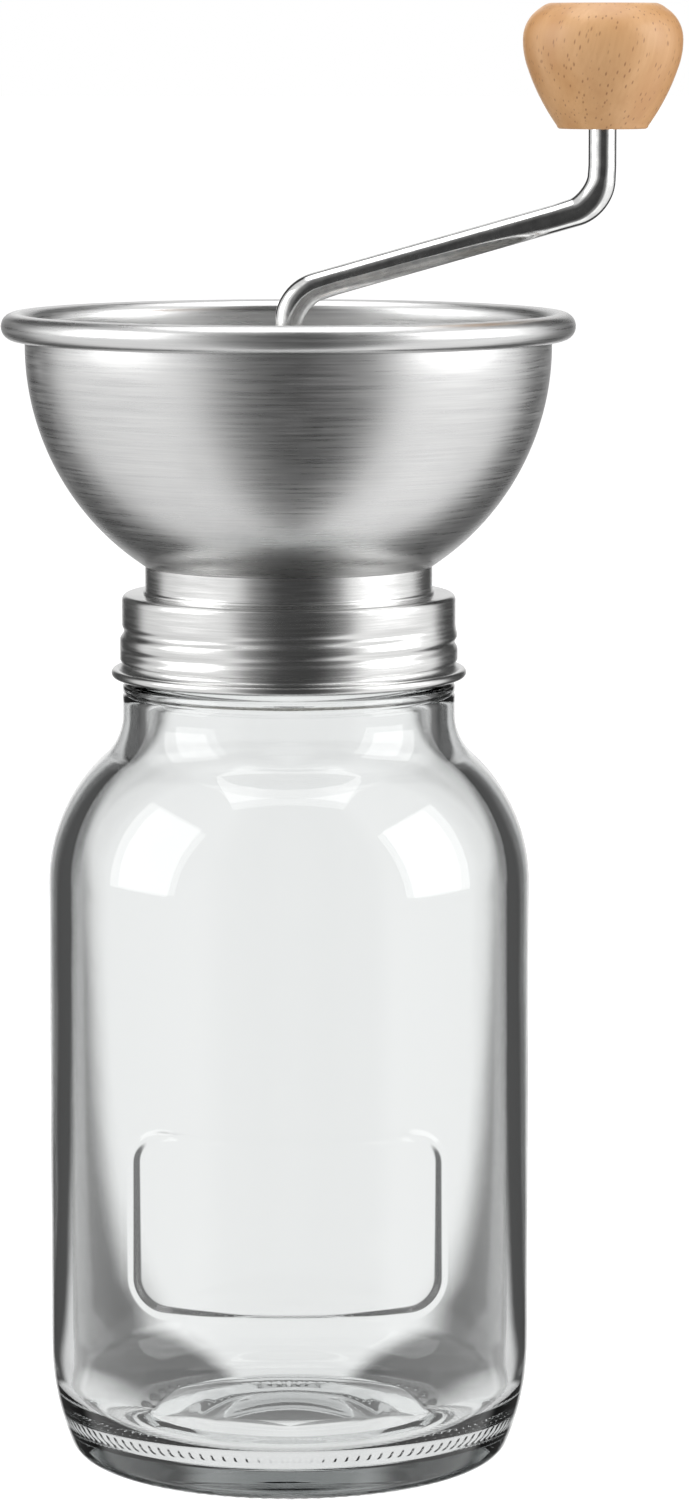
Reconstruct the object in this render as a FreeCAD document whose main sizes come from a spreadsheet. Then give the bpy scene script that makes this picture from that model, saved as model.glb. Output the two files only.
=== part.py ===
"""Hand-cranked coffee grinder that screws on to a one-litre glass storage jar.

The jar stands on its foot ring at z = 0 with its axis on Z. The grinding head above it is a stainless
bowl on a short neck ring and a screw collar. A cranked rod turns the shaft, the shaft turns the inner
burr, and a dial under the burrs raises or lowers that burr to set the grind. Millimetres throughout.
"""

import FreeCAD, Part
import math
import os
import re

import Sketcher
from FreeCAD import Placement, Rotation, Vector

# ---------------------------------------------------------------- driving dimensions
DIMENSIONS = {
    # glass jar
    "jar_radius": 51.25,
    "jar_wall": 4.5,
    "foot_radius": 42.5,
    "foot_width": 6.0,
    "heel_height": 24.0,
    "heel_round": 5.0,
    "heel_round_inside": 12.0,
    "floor_thickness": 6.5,
    "floor_rise": 2.2,
    "dish_radius": 20.5,
    "dish_depth": 1.4,
    "pushup_radius": 30.5,
    "pushup_step": 2.2,
    "pushup_height": 3.6,
    "shoulder_start": 124.0,
    "shoulder_round": 37.0,
    "neck_round": 12.0,
    "neck_round_inside": 16.0,
    "neck_radius": 35.3,
    "neck_top": 166.6,
    "neck_slope": 0.4,
    "neck_groove": 0.4,
    "neck_groove_width": 0.7,
    "neck_groove_below": 1.6,
    "finish_radius": 33.2,
    "mouth_radius": 29.9,
    "mouth_edge": 0.9,
    "jar_height": 184.0,
    # thread between jar and collar
    "thread_pitch": 4.3,
    "thread_rise": 6.1,
    "thread_height": 1.1,
    "thread_half": 0.9,
    "thread_start": 175.3,
    "thread_angle": 180.0,
    "thread_gap": 0.15,
    # label frame raised on the front of the jar
    "label_width": 66.0,
    "label_height": 39.5,
    "label_corner": 7.0,
    "label_centre": 58.8,
    "label_rib": 2.2,
    "label_proud": 0.45,
    # seal and screw collar
    "seal_thickness": 1.2,
    "seal_inset": 0.3,
    "collar_sheet": 0.6,
    "collar_gap": 0.5,
    "collar_corner": 1.2,
    "collar_height": 17.8,
    "curl_radius": 1.0,
    "curl_out": 1.3,
    "bead_radius": 0.85,
    "groove_radius": 2.0,
    "groove_depth": 0.5,
    # neck ring
    "ring_radius": 30.45,
    "ring_wall": 0.8,
    "ring_height": 5.9,
    # hopper bowl
    "bowl_radius": 55.6,
    "bowl_sheet": 0.8,
    "bowl_lift": 4.2,
    "rim_round": 2.9,
    "rim_end": 125.0,
    "throat_gap": 0.2,
    # burr housing
    "housing_radius": 23.3,
    "housing_bore": 20.8,
    "housing_drop": 16.2,
    "flange_radius": 29.3,
    "flange_thickness": 2.0,
    "shoulder_bore": 19.6,
    "shoulder_thickness": 2.0,
    "funnel_edge": 0.6,
    # snap ring under the outer burr
    "snap_width": 2.0,
    "snap_bite": 0.8,
    "snap_thickness": 0.9,
    "snap_rise": 1.0,
    "snap_gap": 0.05,
    "snap_opening": 9.0,
    # tie screws
    "tie_circle": 26.0,
    "tie_radius": 1.5,
    "tie_clearance": 0.12,
    "tie_head": 2.55,
    "tie_head_height": 2.0,
    "tie_reach": 3.6,
    "tie_point": 0.4,
    "tie_drive": 1.25,
    "tie_drive_depth": 1.2,
    # bearing bridge and bush
    "foot_radius_pad": 3.4,
    "bridge_lift": 2.5,
    "arm_width": 6.0,
    "arm_thickness": 4.2,
    "boss_radius": 8.2,
    "boss_height": 10.0,
    "bush_wall": 1.8,
    "bush_flange": 1.0,
    "bush_flange_width": 2.0,
    # shaft
    "shaft_radius": 4.0,
    "shaft_fit": 0.05,
    "thrust_gap": 0.05,
    "shaft_collar": 6.0,
    "shaft_collar_height": 1.4,
    "washer_thickness": 0.8,
    "washer_radius": 7.6,
    "hex_flats": 6.6,
    "hex_length": 13.0,
    "hex_gap": 0.06,
    "drive_flats": 6.4,
    "drive_above": 0.8,
    "stud_length": 6.4,
    "clip_neck": 2.9,
    "clip_thickness": 0.6,
    "clip_end": 0.6,
    "clip_radius": 5.4,
    "clip_mouth": 3.6,
    # burrs
    "burr_drop": 13.5,
    "burr_height": 18.3,
    "burr_radius": 16.6,
    "burr_top_radius": 8.4,
    "burr_edge": 1.4,
    "burr_gap": 0.55,
    "burr_feed": 4.4,
    "burr_pocket": 6.9,
    "burr_pocket_depth": 4.6,
    "lug_circle": 9.0,
    "lug_radius": 1.3,
    "lug_height": 1.5,
    "lug_gap": 0.08,
    "outer_burr_gap": 0.08,
    "tooth_depth": 0.9,
    "tooth_width": 1.5,
    "tooth_height": 5.0,
    "tooth_lean": 1.6,
    "feed_depth": 1.8,
    "feed_width": 4.0,
    # spring
    "spring_wire": 0.45,
    "spring_radius": 5.7,
    "spring_coils": 4.5,
    # driver and dial
    "driver_radius": 12.0,
    "driver_thickness": 1.8,
    "driver_gap": 0.05,
    "dial_radius": 11.4,
    "dial_thickness": 3.5,
    "dial_gap": 0.05,
    "dial_step": 0.15,
    "scallop_radius": 1.2,
    "scallop_depth": 0.7,
    "insert_radius": 5.8,
    "insert_short": 0.6,
    # crank
    "rod_radius": 2.95,
    "rod_bend": 8.0,
    "socket_radius": 6.2,
    "socket_height": 18.0,
    "socket_web": 0.6,
    "leg_length": 26.8,
    "leg_seat": 4.0,
    "crank_reach": 66.0,
    "crank_rise": 18.6,
    "grub_radius": 2.0,
    "grub_recess": 0.2,
    "grub_drive": 1.0,
    "grub_drive_depth": 1.2,
    # knob and what holds it
    "knob_above": 16.0,
    "knob_height": 26.2,
    "knob_radius": 16.8,
    "knob_widest": 18.6,
    "knob_foot": 9.4,
    "knob_crown": 11.0,
    "knob_entry": 0.2,
    "knob_seat": 4.3,
    "knob_bore": 4.3,
    "knob_bore_depth": 9.0,
    "stem_neck": 2.4,
    "stem_fit": 0.06,
    "stem_bush_wall": 1.1,
    "knob_play": 0.2,
    "knob_washer": 0.8,
    "knob_washer_gap": 0.3,
    "cap_radius": 3.2,
    "cap_height": 2.0,
    "cap_shank": 1.25,
    "cap_reach": 8.0,
    "cap_drive": 1.25,
    "cap_drive_depth": 1.2,
}

SPOKES = 3  # tie screws, and the bridge's arms that they hold
LUGS = 3
FINE_TEETH = 24
FEED_TEETH = 6
SCALLOPS = 20
RIM_ARCS = 3
HEX_CORNERS = range(0, 360, 60)
H_AXIS, V_AXIS = -1, -2  # a sketch's own axes, as the sketcher numbers them
START, END, CENTRE = 1, 2, 3  # an edge's points, as the sketcher numbers them

doc = FreeCAD.newDocument("coffee_grinder")
sheet = doc.addObject("Spreadsheet::Sheet", "dims")
for row, (alias, value) in enumerate(DIMENSIONS.items(), 1):
    sheet.set(f"A{row}", str(value))
    sheet.setAlias(f"A{row}", alias)
doc.recompute()

WORD = re.compile(r"[a-z][a-z_]*[a-z]")


def bound(formula):
    """The formula as an expression of another object: each dimension is read from the sheet."""
    return WORD.sub(lambda m: "dims." + m.group() if m.group() in DIMENSIONS else m.group(), formula)


def size(formula):
    """The formula's value now, in millimetres or degrees."""
    return float(sheet.evalExpression(formula))


# ---------------------------------------------------------------- places worked out from the dimensions
COLLAR_TOP = "(jar_height + seal_thickness + collar_sheet)"
COLLAR_BOTTOM = f"({COLLAR_TOP} - collar_height)"
COLLAR_INNER = "(finish_radius + thread_height + collar_gap)"
COLLAR_RADIUS = f"({COLLAR_INNER} + collar_sheet)"
DISC_UNDER = f"({COLLAR_TOP} - collar_sheet)"
BEAD_BELOW = "(thread_half + bead_radius + thread_gap)"
FLOOR_UNDER = f"({COLLAR_TOP} + ring_height)"
FLOOR_TOP = f"({FLOOR_UNDER} + bowl_sheet)"
THROAT = "(housing_radius + throat_gap)"
BOWL_CENTRE = f"({FLOOR_UNDER} + sqrt(bowl_radius^2 - ring_radius^2))"
RIM_HEIGHT = f"({BOWL_CENTRE} + bowl_lift)"
RIM_CENTRE = "(bowl_radius - bowl_sheet + rim_round)"
HOUSING_BOTTOM = f"({DISC_UNDER} - housing_drop)"
FLANGE_UNDER = f"({DISC_UNDER} - flange_thickness)"
SNAP_BOTTOM = f"({HOUSING_BOTTOM} + snap_rise)"
SNAP_TOP = f"({SNAP_BOTTOM} + snap_thickness)"
OUTER_BURR_BOTTOM = f"({SNAP_TOP} + snap_gap)"
OUTER_BURR_TOP = f"({DISC_UNDER} - snap_gap)"
BRIDGE_UNDER = f"({FLOOR_TOP} + bridge_lift)"
BRIDGE_TOP = f"({BRIDGE_UNDER} + boss_height)"
BUSH_OUTER = "(shaft_radius + shaft_fit + bush_wall)"
BUSH_TOP = f"({BRIDGE_TOP} + bush_flange)"
COLLAR_SEAT = f"({BUSH_TOP} + thrust_gap + washer_thickness)"
SOCKET_BOTTOM = f"({COLLAR_SEAT} + shaft_collar_height)"
SOCKET_TOP = f"({SOCKET_BOTTOM} + socket_height)"
SHAFT_TOP = f"({SOCKET_BOTTOM} + hex_length)"
LEG_BOTTOM = f"({SOCKET_TOP} - leg_seat)"
ELBOW = f"({LEG_BOTTOM} + leg_length)"
BURR_BOTTOM = f"({DISC_UNDER} - burr_drop)"
BURR_TOP = f"({BURR_BOTTOM} + burr_height)"
POCKET_FLOOR = f"({BURR_TOP} - burr_pocket_depth)"
SPRING_TOP = f"({BRIDGE_UNDER} - thrust_gap - washer_thickness)"
DRIVER_TOP = f"({BURR_BOTTOM} - driver_gap)"
DRIVER_BOTTOM = f"({DRIVER_TOP} - driver_thickness)"
DRIVE_TOP = f"({DRIVER_TOP} + drive_above)"
INSERT_TOP = f"({DRIVER_BOTTOM} - dial_gap)"
DIAL_TOP = f"({INSERT_TOP} - dial_step)"
DIAL_BOTTOM = f"({DIAL_TOP} - dial_thickness)"
SHAFT_BOTTOM = f"({DRIVER_BOTTOM} - stud_length)"
CLIP_BOTTOM = f"({SHAFT_BOTTOM} + clip_end)"
CLIP_TOP = f"({CLIP_BOTTOM} + clip_thickness)"
CRANK_SLOPE = "atan(crank_rise / crank_reach)"
STEM_FOOT = f"({ELBOW} + crank_rise)"
KNOB_BOTTOM = f"({STEM_FOOT} + knob_above)"
KNOB_TOP = f"({KNOB_BOTTOM} + knob_height)"
STEM_SHOULDER = f"({KNOB_BOTTOM} + knob_seat)"
BORE_FLOOR = f"({KNOB_TOP} - knob_bore_depth)"
STEM_TOP = f"({BORE_FLOOR} + knob_play)"
STEM_BUSH = "(stem_neck + stem_fit + stem_bush_wall)"
CAP_SEAT = f"({STEM_TOP} + knob_washer)"


# ---------------------------------------------------------------- helpers
def new_body(label):
    """An empty body whose label names its file."""
    body = doc.addObject("PartDesign::Body", label)
    body.Label = label
    return body


def origin_plane(body, role):
    """One of the body's own origin planes."""
    return next(o for o in body.Origin.OriginFeatures if o.Role == role)


def new_sketch(body, name, role="XZ_Plane", lift=None, turn=None):
    """A sketch on an origin plane, lifted along its normal or turned about its vertical axis."""
    sketch = body.newObject("Sketcher::SketchObject", name)
    sketch.AttachmentSupport = [(origin_plane(body, role), "")]
    sketch.MapMode = "FlatFace"
    if turn is not None:
        sketch.AttachmentOffset = Placement(Vector(), Rotation(Vector(0, 1, 0), size(turn)))
        sketch.setExpression(".AttachmentOffset.Rotation.Angle", bound(turn))
    if lift is not None:
        sketch.setExpression(".AttachmentOffset.Base.z", bound(lift))
    return sketch


def constrain(sketch, wanted):
    """Adds constraints in one go, each with the formula that its value is bound to, or None."""
    numbers = sketch.addConstraint([constraint for constraint, _ in wanted])
    for number, (_, formula) in zip(numbers, wanted):
        if formula is not None:
            sketch.renameConstraint(number, f"size_{number}")
            sketch.setExpression(f"Constraints.size_{number}", bound(formula))


def at_point(edge, end, across, up):
    """The constraints that place one end of an edge; "0" lies on that axis of the sketch."""
    wanted = []
    for kind, formula, axis in (("DistanceX", across, V_AXIS), ("DistanceY", up, H_AXIS)):
        if formula == "0":
            wanted.append((Sketcher.Constraint("PointOnObject", edge, end, axis), None))
        else:
            wanted.append((Sketcher.Constraint(kind, -1, 1, edge, end, size(formula)), formula))
    return wanted


def arc_between(start, end, radius, left):
    """The shorter arc of that radius from start to end, bulging to the left or right of the way along."""
    chord = end - start
    height = math.sqrt(max(radius**2 - (chord.Length / 2) ** 2, 0.0))
    side = Vector(-chord.y, chord.x, 0).normalize() * (-1 if left else 1)
    centre = (start + end) / 2 + side * height
    first, last = (end, start) if left else (start, end)
    begin, finish = (math.atan2(point.y - centre.y, point.x - centre.x) for point in (first, last))
    if finish <= begin:
        finish += 2 * math.pi
    return Part.ArcOfCircle(Part.Circle(centre, Vector(0, 0, 1), radius), begin, finish)


def outline(sketch, corners, arcs=None, closed=True):
    """An outline through corners, each a pair of formulas.

    arcs says which edges are round: edge number to (radius formula, whether it bulges to the left).
    """
    arcs = arcs or {}
    first = sketch.GeometryCount
    points = [Vector(size(x), size(y), 0) for x, y in corners]
    edges = range(len(points) if closed else len(points) - 1)
    starts, ends = [], []
    for i in edges:
        start = points[i]
        end = points[(i + 1) % len(points)]
        if i in arcs:
            radius, left = arcs[i]
            sketch.addGeometry(arc_between(start, end, size(radius), left), False)
        else:
            sketch.addGeometry(Part.LineSegment(start, end), False)
        backwards = i in arcs and arcs[i][1]
        starts.append((first + i, END if backwards else START))
        ends.append((first + i, START if backwards else END))
    joints = edges if closed else edges[:-1]
    wanted = [
        (Sketcher.Constraint("Coincident", *ends[i], *starts[(i + 1) % len(edges)]), None) for i in joints
    ]
    for i, corner in enumerate(corners):
        wanted += at_point(*(starts[i] if i < len(edges) else ends[-1]), *corner)
    wanted += [(Sketcher.Constraint("Radius", first + i, size(r)), r) for i, (r, _) in arcs.items()]
    constrain(sketch, wanted)
    return sketch


def circle(sketch, across, up, radius):
    """A circle at formulas measured from the sketch's origin."""
    centre = Vector(size(across), size(up), 0)
    edge = sketch.addGeometry(Part.Circle(centre, Vector(0, 0, 1), size(radius)), False)
    constrain(
        sketch,
        at_point(edge, CENTRE, across, up) + [(Sketcher.Constraint("Radius", edge, size(radius)), radius)],
    )
    return sketch


def box_outline(sketch, left, bottom, right, top):
    """A rectangle between four formulas."""
    return outline(sketch, [(left, bottom), (right, bottom), (right, top), (left, top)])


def rounded_box(sketch, half_width, bottom, top, corner):
    """A rectangle with round corners, centred on the vertical axis."""
    flat = f"({half_width} - ({corner}))"
    low = f"({bottom} + ({corner}))"
    high = f"({top} - ({corner}))"
    corners = [
        (f"0 - {flat}", bottom),
        (flat, bottom),
        (half_width, low),
        (half_width, high),
        (flat, top),
        (f"0 - {flat}", top),
        (f"0 - {half_width}", high),
        (f"0 - {half_width}", low),
    ]
    return outline(sketch, corners, {edge: (corner, False) for edge in (1, 3, 5, 7)})


def hexagon(sketch, across, half_flats):
    """A regular hexagon with two flats facing the sketch's vertical axis, from its centre to a flat."""
    corners = [
        (f"{across} + ({half_flats}) / cos(30) * cos({angle})", f"({half_flats}) / cos(30) * sin({angle})")
        for angle in HEX_CORNERS
    ]
    return outline(sketch, corners)


def revolve(body, sketch, name, cut=False):
    """Turns the sketch a full turn about the body's axis."""
    kind = "PartDesign::Groove" if cut else "PartDesign::Revolution"
    turned = body.newObject(kind, name)
    turned.Profile = sketch
    turned.ReferenceAxis = (sketch, ["V_Axis"])
    turned.Angle = 360
    return turned


def extrude(body, sketch, name, length, cut=False, backwards=False):
    """Pads the sketch by a length, or pockets it."""
    feature = body.newObject("PartDesign::Pocket" if cut else "PartDesign::Pad", name)
    feature.Profile = sketch
    feature.Type = 0
    feature.setExpression("Length", bound(length))
    feature.Reversed = backwards
    return feature


def polar(body, feature, name, count):
    """Repeats a feature round the body's axis."""
    pattern = body.newObject("PartDesign::PolarPattern", name)
    pattern.Originals = [feature]
    pattern.Axis = (next(o for o in body.Origin.OriginFeatures if o.Role == "Z_Axis"), [""])
    pattern.Angle = 360
    pattern.Occurrences = count
    body.Tip = pattern
    return pattern


def helix(body, sketch, name, pitch, height, cut=False):
    """Sweeps the sketch along a right-hand helix about the body's axis."""
    kind = "PartDesign::SubtractiveHelix" if cut else "PartDesign::AdditiveHelix"
    swept = body.newObject(kind, name)
    swept.Profile = sketch
    swept.ReferenceAxis = (sketch, ["V_Axis"])
    swept.Mode = 0
    swept.setExpression("Pitch", bound(pitch))
    swept.setExpression("Height", bound(height))
    swept.Angle = 0
    swept.Growth = 0
    swept.LeftHanded = False
    swept.Reversed = False
    body.Tip = swept
    return swept


def turned_part(label, corners, arcs=None):
    """A body turned from one outline, given as radius and height."""
    body = new_body(label)
    revolve(body, outline(new_sketch(body, label + "_profile"), corners, arcs), label + "_turned")
    return body


def ring_part(label, inner, outer, bottom, top):
    """A plain flat ring or tube."""
    return turned_part(label, [(inner, bottom), (outer, bottom), (outer, top), (inner, top)])


def drill_round(body, name, circle_radius, radius, top, depth, count):
    """Drills holes on a circle, each going down from a height."""
    sketch = circle(new_sketch(body, name + "_sketch", "XY_Plane", top), circle_radius, "0", radius)
    return polar(body, extrude(body, sketch, name, depth, cut=True), name + "_round", count)


# ---------------------------------------------------------------- jar
def shoulder(outer_radius, round_radius, neck_radius, neck_round):
    """Where a rounded shoulder meets its neck: the arcs' joint, and the height where the neck is straight."""
    across = f"({neck_radius} + {neck_round} - {outer_radius} + {round_radius})"
    reach = f"({round_radius} + {neck_round})"
    up = f"sqrt({reach}^2 - {across}^2)"
    joint = (
        f"({outer_radius} - {round_radius} + {round_radius} * {across} / {reach})",
        f"(shoulder_start + {round_radius} * {up} / {reach})",
    )
    return joint, f"(shoulder_start + {up})"


def heel(wall_radius, foot, height, small):
    """A heel of two arcs from a flat foot to a straight wall: the large arc's radius, and their joint."""
    width = f"({wall_radius} - {foot})"
    drop = f"({height} - {small})"
    big = f"(({width}^2 + {drop}^2 - {small}^2) / (2 * ({width} - {small})))"
    reach = f"({big} - {small})"
    joint = (
        f"({foot} + {small} * ({big} - {width}) / {reach})",
        f"({small} - {small} * {drop} / {reach})",
    )
    return big, joint


def add_jar_outside(body):
    """The solid outer form of the jar, from its pushed-up bottom to the mouth."""
    big, heel_joint = heel("jar_radius", "foot_radius", "heel_height", "heel_round")
    joint, neck_start = shoulder("jar_radius", "shoulder_round", "neck_radius", "neck_round")
    groove_top = "(neck_top - neck_groove_below)"
    corners = [
        ("0", "pushup_height"),
        ("pushup_radius", "pushup_step"),
        ("foot_radius - foot_width", "0"),
        ("foot_radius", "0"),
        heel_joint,
        ("jar_radius", "heel_height"),
        ("jar_radius", "shoulder_start"),
        joint,
        ("neck_radius", neck_start),
        ("neck_radius", f"{groove_top} - neck_groove_width"),
        ("neck_radius - neck_groove", f"{groove_top} - neck_groove_width / 2"),
        ("neck_radius", groove_top),
        ("neck_radius", "neck_top"),
        ("finish_radius", "neck_top + neck_slope"),
        ("finish_radius", "jar_height - mouth_edge"),
        ("finish_radius - mouth_edge", "jar_height"),
        ("0", "jar_height"),
    ]
    arcs = {
        3: ("heel_round", False),
        4: (big, False),
        6: ("shoulder_round", False),
        7: ("neck_round", True),
        14: ("mouth_edge", False),
    }
    revolve(body, outline(new_sketch(body, "jar_outside"), corners, arcs), "jar_form")


def add_label_frame(body):
    """The raised rounded frame on the front of the jar, following its curve."""
    plan = new_sketch(body, "label_frame_plan")
    bottom = "(label_centre - label_height / 2)"
    top = "(label_centre + label_height / 2)"
    rounded_box(plan, "label_width / 2", bottom, top, "label_corner")
    inner = "(label_width / 2 - label_rib)"
    rounded_box(plan, inner, f"{bottom} + label_rib", f"{top} - label_rib", "label_corner - label_rib")
    extrude(body, plan, "label_frame", "jar_radius + label_proud")
    trim = new_sketch(body, "label_trim_profile")
    beyond = "(jar_radius + label_width / 2)"
    low = f"{bottom} - label_rib"
    box_outline(trim, "jar_radius + label_proud", low, beyond, f"{top} + label_rib")
    revolve(body, trim, "label_trim", cut=True)


def add_jar_cavity(body):
    """The inside of the jar, with a rounded corner and a dished floor."""
    inner = "(jar_radius - jar_wall)"
    floor_top = "(floor_thickness + floor_rise)"
    inside_round = "(shoulder_round - jar_wall)"
    joint, mouth_start = shoulder(inner, inside_round, "mouth_radius", "neck_round_inside")
    corners = [
        ("0", "jar_height"),
        ("mouth_radius + mouth_edge", "jar_height"),
        ("mouth_radius", "jar_height - mouth_edge"),
        ("mouth_radius", mouth_start),
        joint,
        (inner, "shoulder_start"),
        (inner, "floor_thickness + heel_round_inside"),
        (f"{inner} - heel_round_inside", "floor_thickness"),
        ("pushup_radius", floor_top),
        ("dish_radius", floor_top),
        ("0", f"{floor_top} - dish_depth"),
    ]
    arcs = {
        1: ("mouth_edge", False),
        3: ("neck_round_inside", False),
        4: (inside_round, True),
        6: ("heel_round_inside", True),
    }
    revolve(body, outline(new_sketch(body, "jar_inside"), corners, arcs), "jar_cavity", cut=True)


def make_jar():
    """The glass jar: foot ring, label frame, cavity, and the thread ridge on its finish."""
    body = new_body("glass_jar")
    add_jar_outside(body)
    add_label_frame(body)
    add_jar_cavity(body)
    ridge = new_sketch(body, "jar_thread_profile", turn="thread_angle")
    crest = "finish_radius + thread_height"
    root = "finish_radius - thread_half / 2"
    corners = [
        (root, "thread_start - thread_half"),
        (crest, "thread_start - thread_half / 2"),
        (crest, "thread_start + thread_half / 2"),
        (root, "thread_start + thread_half"),
    ]
    helix(body, outline(ridge, corners), "jar_thread", "thread_pitch", "thread_rise")
    return body


# ---------------------------------------------------------------- collar, neck ring and bowl
def make_screw_collar():
    """The pressed steel collar: disc, skirt, rolled thread and curled bottom edge."""
    body = new_body("screw_collar")
    curl_up = f"({COLLAR_BOTTOM} + curl_radius)"
    corners = [
        (THROAT, DISC_UNDER),
        (COLLAR_INNER, DISC_UNDER),
        (COLLAR_INNER, f"{curl_up} + curl_radius"),
        (f"{COLLAR_RADIUS} + curl_out - 0.7 * curl_radius", f"{curl_up} - 0.5 * curl_radius"),
        (f"{COLLAR_RADIUS} + curl_out - 0.3 * curl_radius", f"{curl_up} + 0.9 * curl_radius"),
        (COLLAR_RADIUS, f"{curl_up} + 1.6 * curl_radius"),
        (f"{COLLAR_RADIUS}", f"{COLLAR_TOP} - collar_corner"),
        (f"{COLLAR_RADIUS} - collar_corner", COLLAR_TOP),
        (THROAT, COLLAR_TOP),
    ]
    arcs = {6: ("collar_corner", False)}
    revolve(body, outline(new_sketch(body, "collar_profile"), corners, arcs), "collar_pressing")
    curl = circle(new_sketch(body, "curl_profile"), f"{COLLAR_RADIUS} + curl_out", curl_up, "curl_radius")
    revolve(body, curl, "collar_curl")
    drill_round(body, "collar_holes", "tie_circle", "tie_radius + tie_clearance", COLLAR_TOP, "collar_sheet",
                SPOKES)
    height = f"(thread_start - {BEAD_BELOW})"
    bead = new_sketch(body, "collar_bead_profile", turn="thread_angle")
    circle(bead, f"{COLLAR_RADIUS} - bead_radius - 0.1 * collar_sheet", height, "bead_radius")
    helix(body, bead, "collar_bead", "thread_pitch", "thread_rise")
    valley = new_sketch(body, "collar_groove_profile", turn="thread_angle")
    circle(valley, f"{COLLAR_RADIUS} + groove_radius - groove_depth", height, "groove_radius")
    helix(body, valley, "collar_groove", "thread_pitch", "thread_rise", cut=True)
    return body


def rim_point(radius, angle):
    """A point of the rolled rim, by its distance and direction from the roll's centre."""
    return (f"{RIM_CENTRE} + {radius} * cos({angle})", f"{RIM_HEIGHT} + {radius} * sin({angle})")


def make_hopper_bowl():
    """The round bowl of one sheet, from its flat floor to the rolled rim."""
    body = new_body("hopper_bowl")
    inner = "(bowl_radius - bowl_sheet)"
    roll_inside = "(rim_round - bowl_sheet)"
    turns = [f"(180 - {step} * (180 + rim_end) / {RIM_ARCS})" for step in range(1, RIM_ARCS + 1)]
    floor_edge = f"sqrt({inner}^2 - ({BOWL_CENTRE} - {FLOOR_TOP})^2)"
    corners = [
        (THROAT, FLOOR_UNDER),
        ("ring_radius", FLOOR_UNDER),
        ("bowl_radius", BOWL_CENTRE),
        ("bowl_radius", RIM_HEIGHT),
        *(rim_point(roll_inside, angle) for angle in turns),
        *(rim_point("rim_round", angle) for angle in reversed(turns)),
        (inner, RIM_HEIGHT),
        (inner, BOWL_CENTRE),
        (floor_edge, FLOOR_TOP),
        (THROAT, FLOOR_TOP),
    ]
    roll_start = 3
    unroll_start = roll_start + RIM_ARCS + 1
    arcs = {1: ("bowl_radius", False), unroll_start + RIM_ARCS + 1: (inner, True)}
    arcs.update({roll_start + step: (roll_inside, True) for step in range(RIM_ARCS)})
    arcs.update({unroll_start + step: ("rim_round", False) for step in range(RIM_ARCS)})
    revolve(body, outline(new_sketch(body, "bowl_profile"), corners, arcs), "bowl_sheet")
    drill_round(body, "bowl_holes", "tie_circle", "tie_radius + tie_clearance", FLOOR_TOP, "bowl_sheet",
                SPOKES)
    return body


# ---------------------------------------------------------------- burr housing and what it carries
def make_burr_housing():
    """The tube that holds the outer burr, with a flange under the collar and a funnel at its top."""
    shoulder_top = f"({DISC_UNDER} + shoulder_thickness)"
    corners = [
        ("housing_bore", HOUSING_BOTTOM),
        ("housing_radius", HOUSING_BOTTOM),
        ("housing_radius", FLANGE_UNDER),
        ("flange_radius", FLANGE_UNDER),
        ("flange_radius", DISC_UNDER),
        ("housing_radius", DISC_UNDER),
        ("housing_radius", FLOOR_TOP),
        ("housing_radius - funnel_edge", FLOOR_TOP),
        ("shoulder_bore", shoulder_top),
        ("shoulder_bore", DISC_UNDER),
        ("housing_bore", DISC_UNDER),
        ("housing_bore", f"{SNAP_TOP} + snap_gap / 2"),
        ("housing_bore + snap_bite", f"{SNAP_TOP} + snap_gap / 2"),
        ("housing_bore + snap_bite", f"{SNAP_BOTTOM} - snap_gap / 2"),
        ("housing_bore", f"{SNAP_BOTTOM} - snap_gap / 2"),
    ]
    body = turned_part("burr_housing", corners)
    drill_round(body, "housing_holes", "tie_circle", "tie_radius + tie_clearance", DISC_UNDER,
                "flange_thickness", SPOKES)
    return body


def make_snap_ring():
    """The split ring that keeps the outer burr up in its housing."""
    outer = "(housing_bore + snap_bite - snap_gap)"
    body = ring_part("burr_snap_ring", f"({outer} - snap_width)", outer, SNAP_BOTTOM, SNAP_TOP)
    slot = new_sketch(body, "snap_slot", "XY_Plane", SNAP_TOP)
    box_outline(slot, "0 - snap_opening / 2", "0", "snap_opening / 2", "housing_radius")
    extrude(body, slot, "snap_split", "snap_thickness", cut=True)
    return body


def make_outer_burr():
    """The fixed ceramic burr, wide at its top and narrow at its grinding edge, with cut teeth inside."""
    outer = "(housing_bore - outer_burr_gap)"
    edge_top = f"({BURR_BOTTOM} + burr_edge)"
    slope = "((burr_radius - burr_top_radius) / (burr_height - burr_edge))"
    feed_radius = f"(burr_radius + burr_feed - {slope} * ({OUTER_BURR_TOP} - {edge_top}))"
    corners = [
        ("burr_radius + burr_gap", OUTER_BURR_BOTTOM),
        (outer, OUTER_BURR_BOTTOM),
        (outer, OUTER_BURR_TOP),
        (feed_radius, OUTER_BURR_TOP),
        ("burr_radius + burr_gap", edge_top),
    ]
    body = turned_part("outer_burr", corners)
    plan = new_sketch(body, "outer_tooth_plan", lift="burr_radius - tooth_depth")
    corners = [
        ("0 - tooth_width / 2", OUTER_BURR_BOTTOM),
        ("tooth_width / 2", OUTER_BURR_BOTTOM),
        ("tooth_width / 2 - tooth_lean", f"{OUTER_BURR_TOP} - burr_edge"),
        ("0 - tooth_width / 2 - tooth_lean", f"{OUTER_BURR_TOP} - burr_edge"),
    ]
    cut = extrude(body, outline(plan, corners), "outer_tooth", "burr_gap + 2 * tooth_depth", cut=True,
                  backwards=True)
    polar(body, cut, "outer_teeth", FINE_TEETH)
    return body


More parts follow.
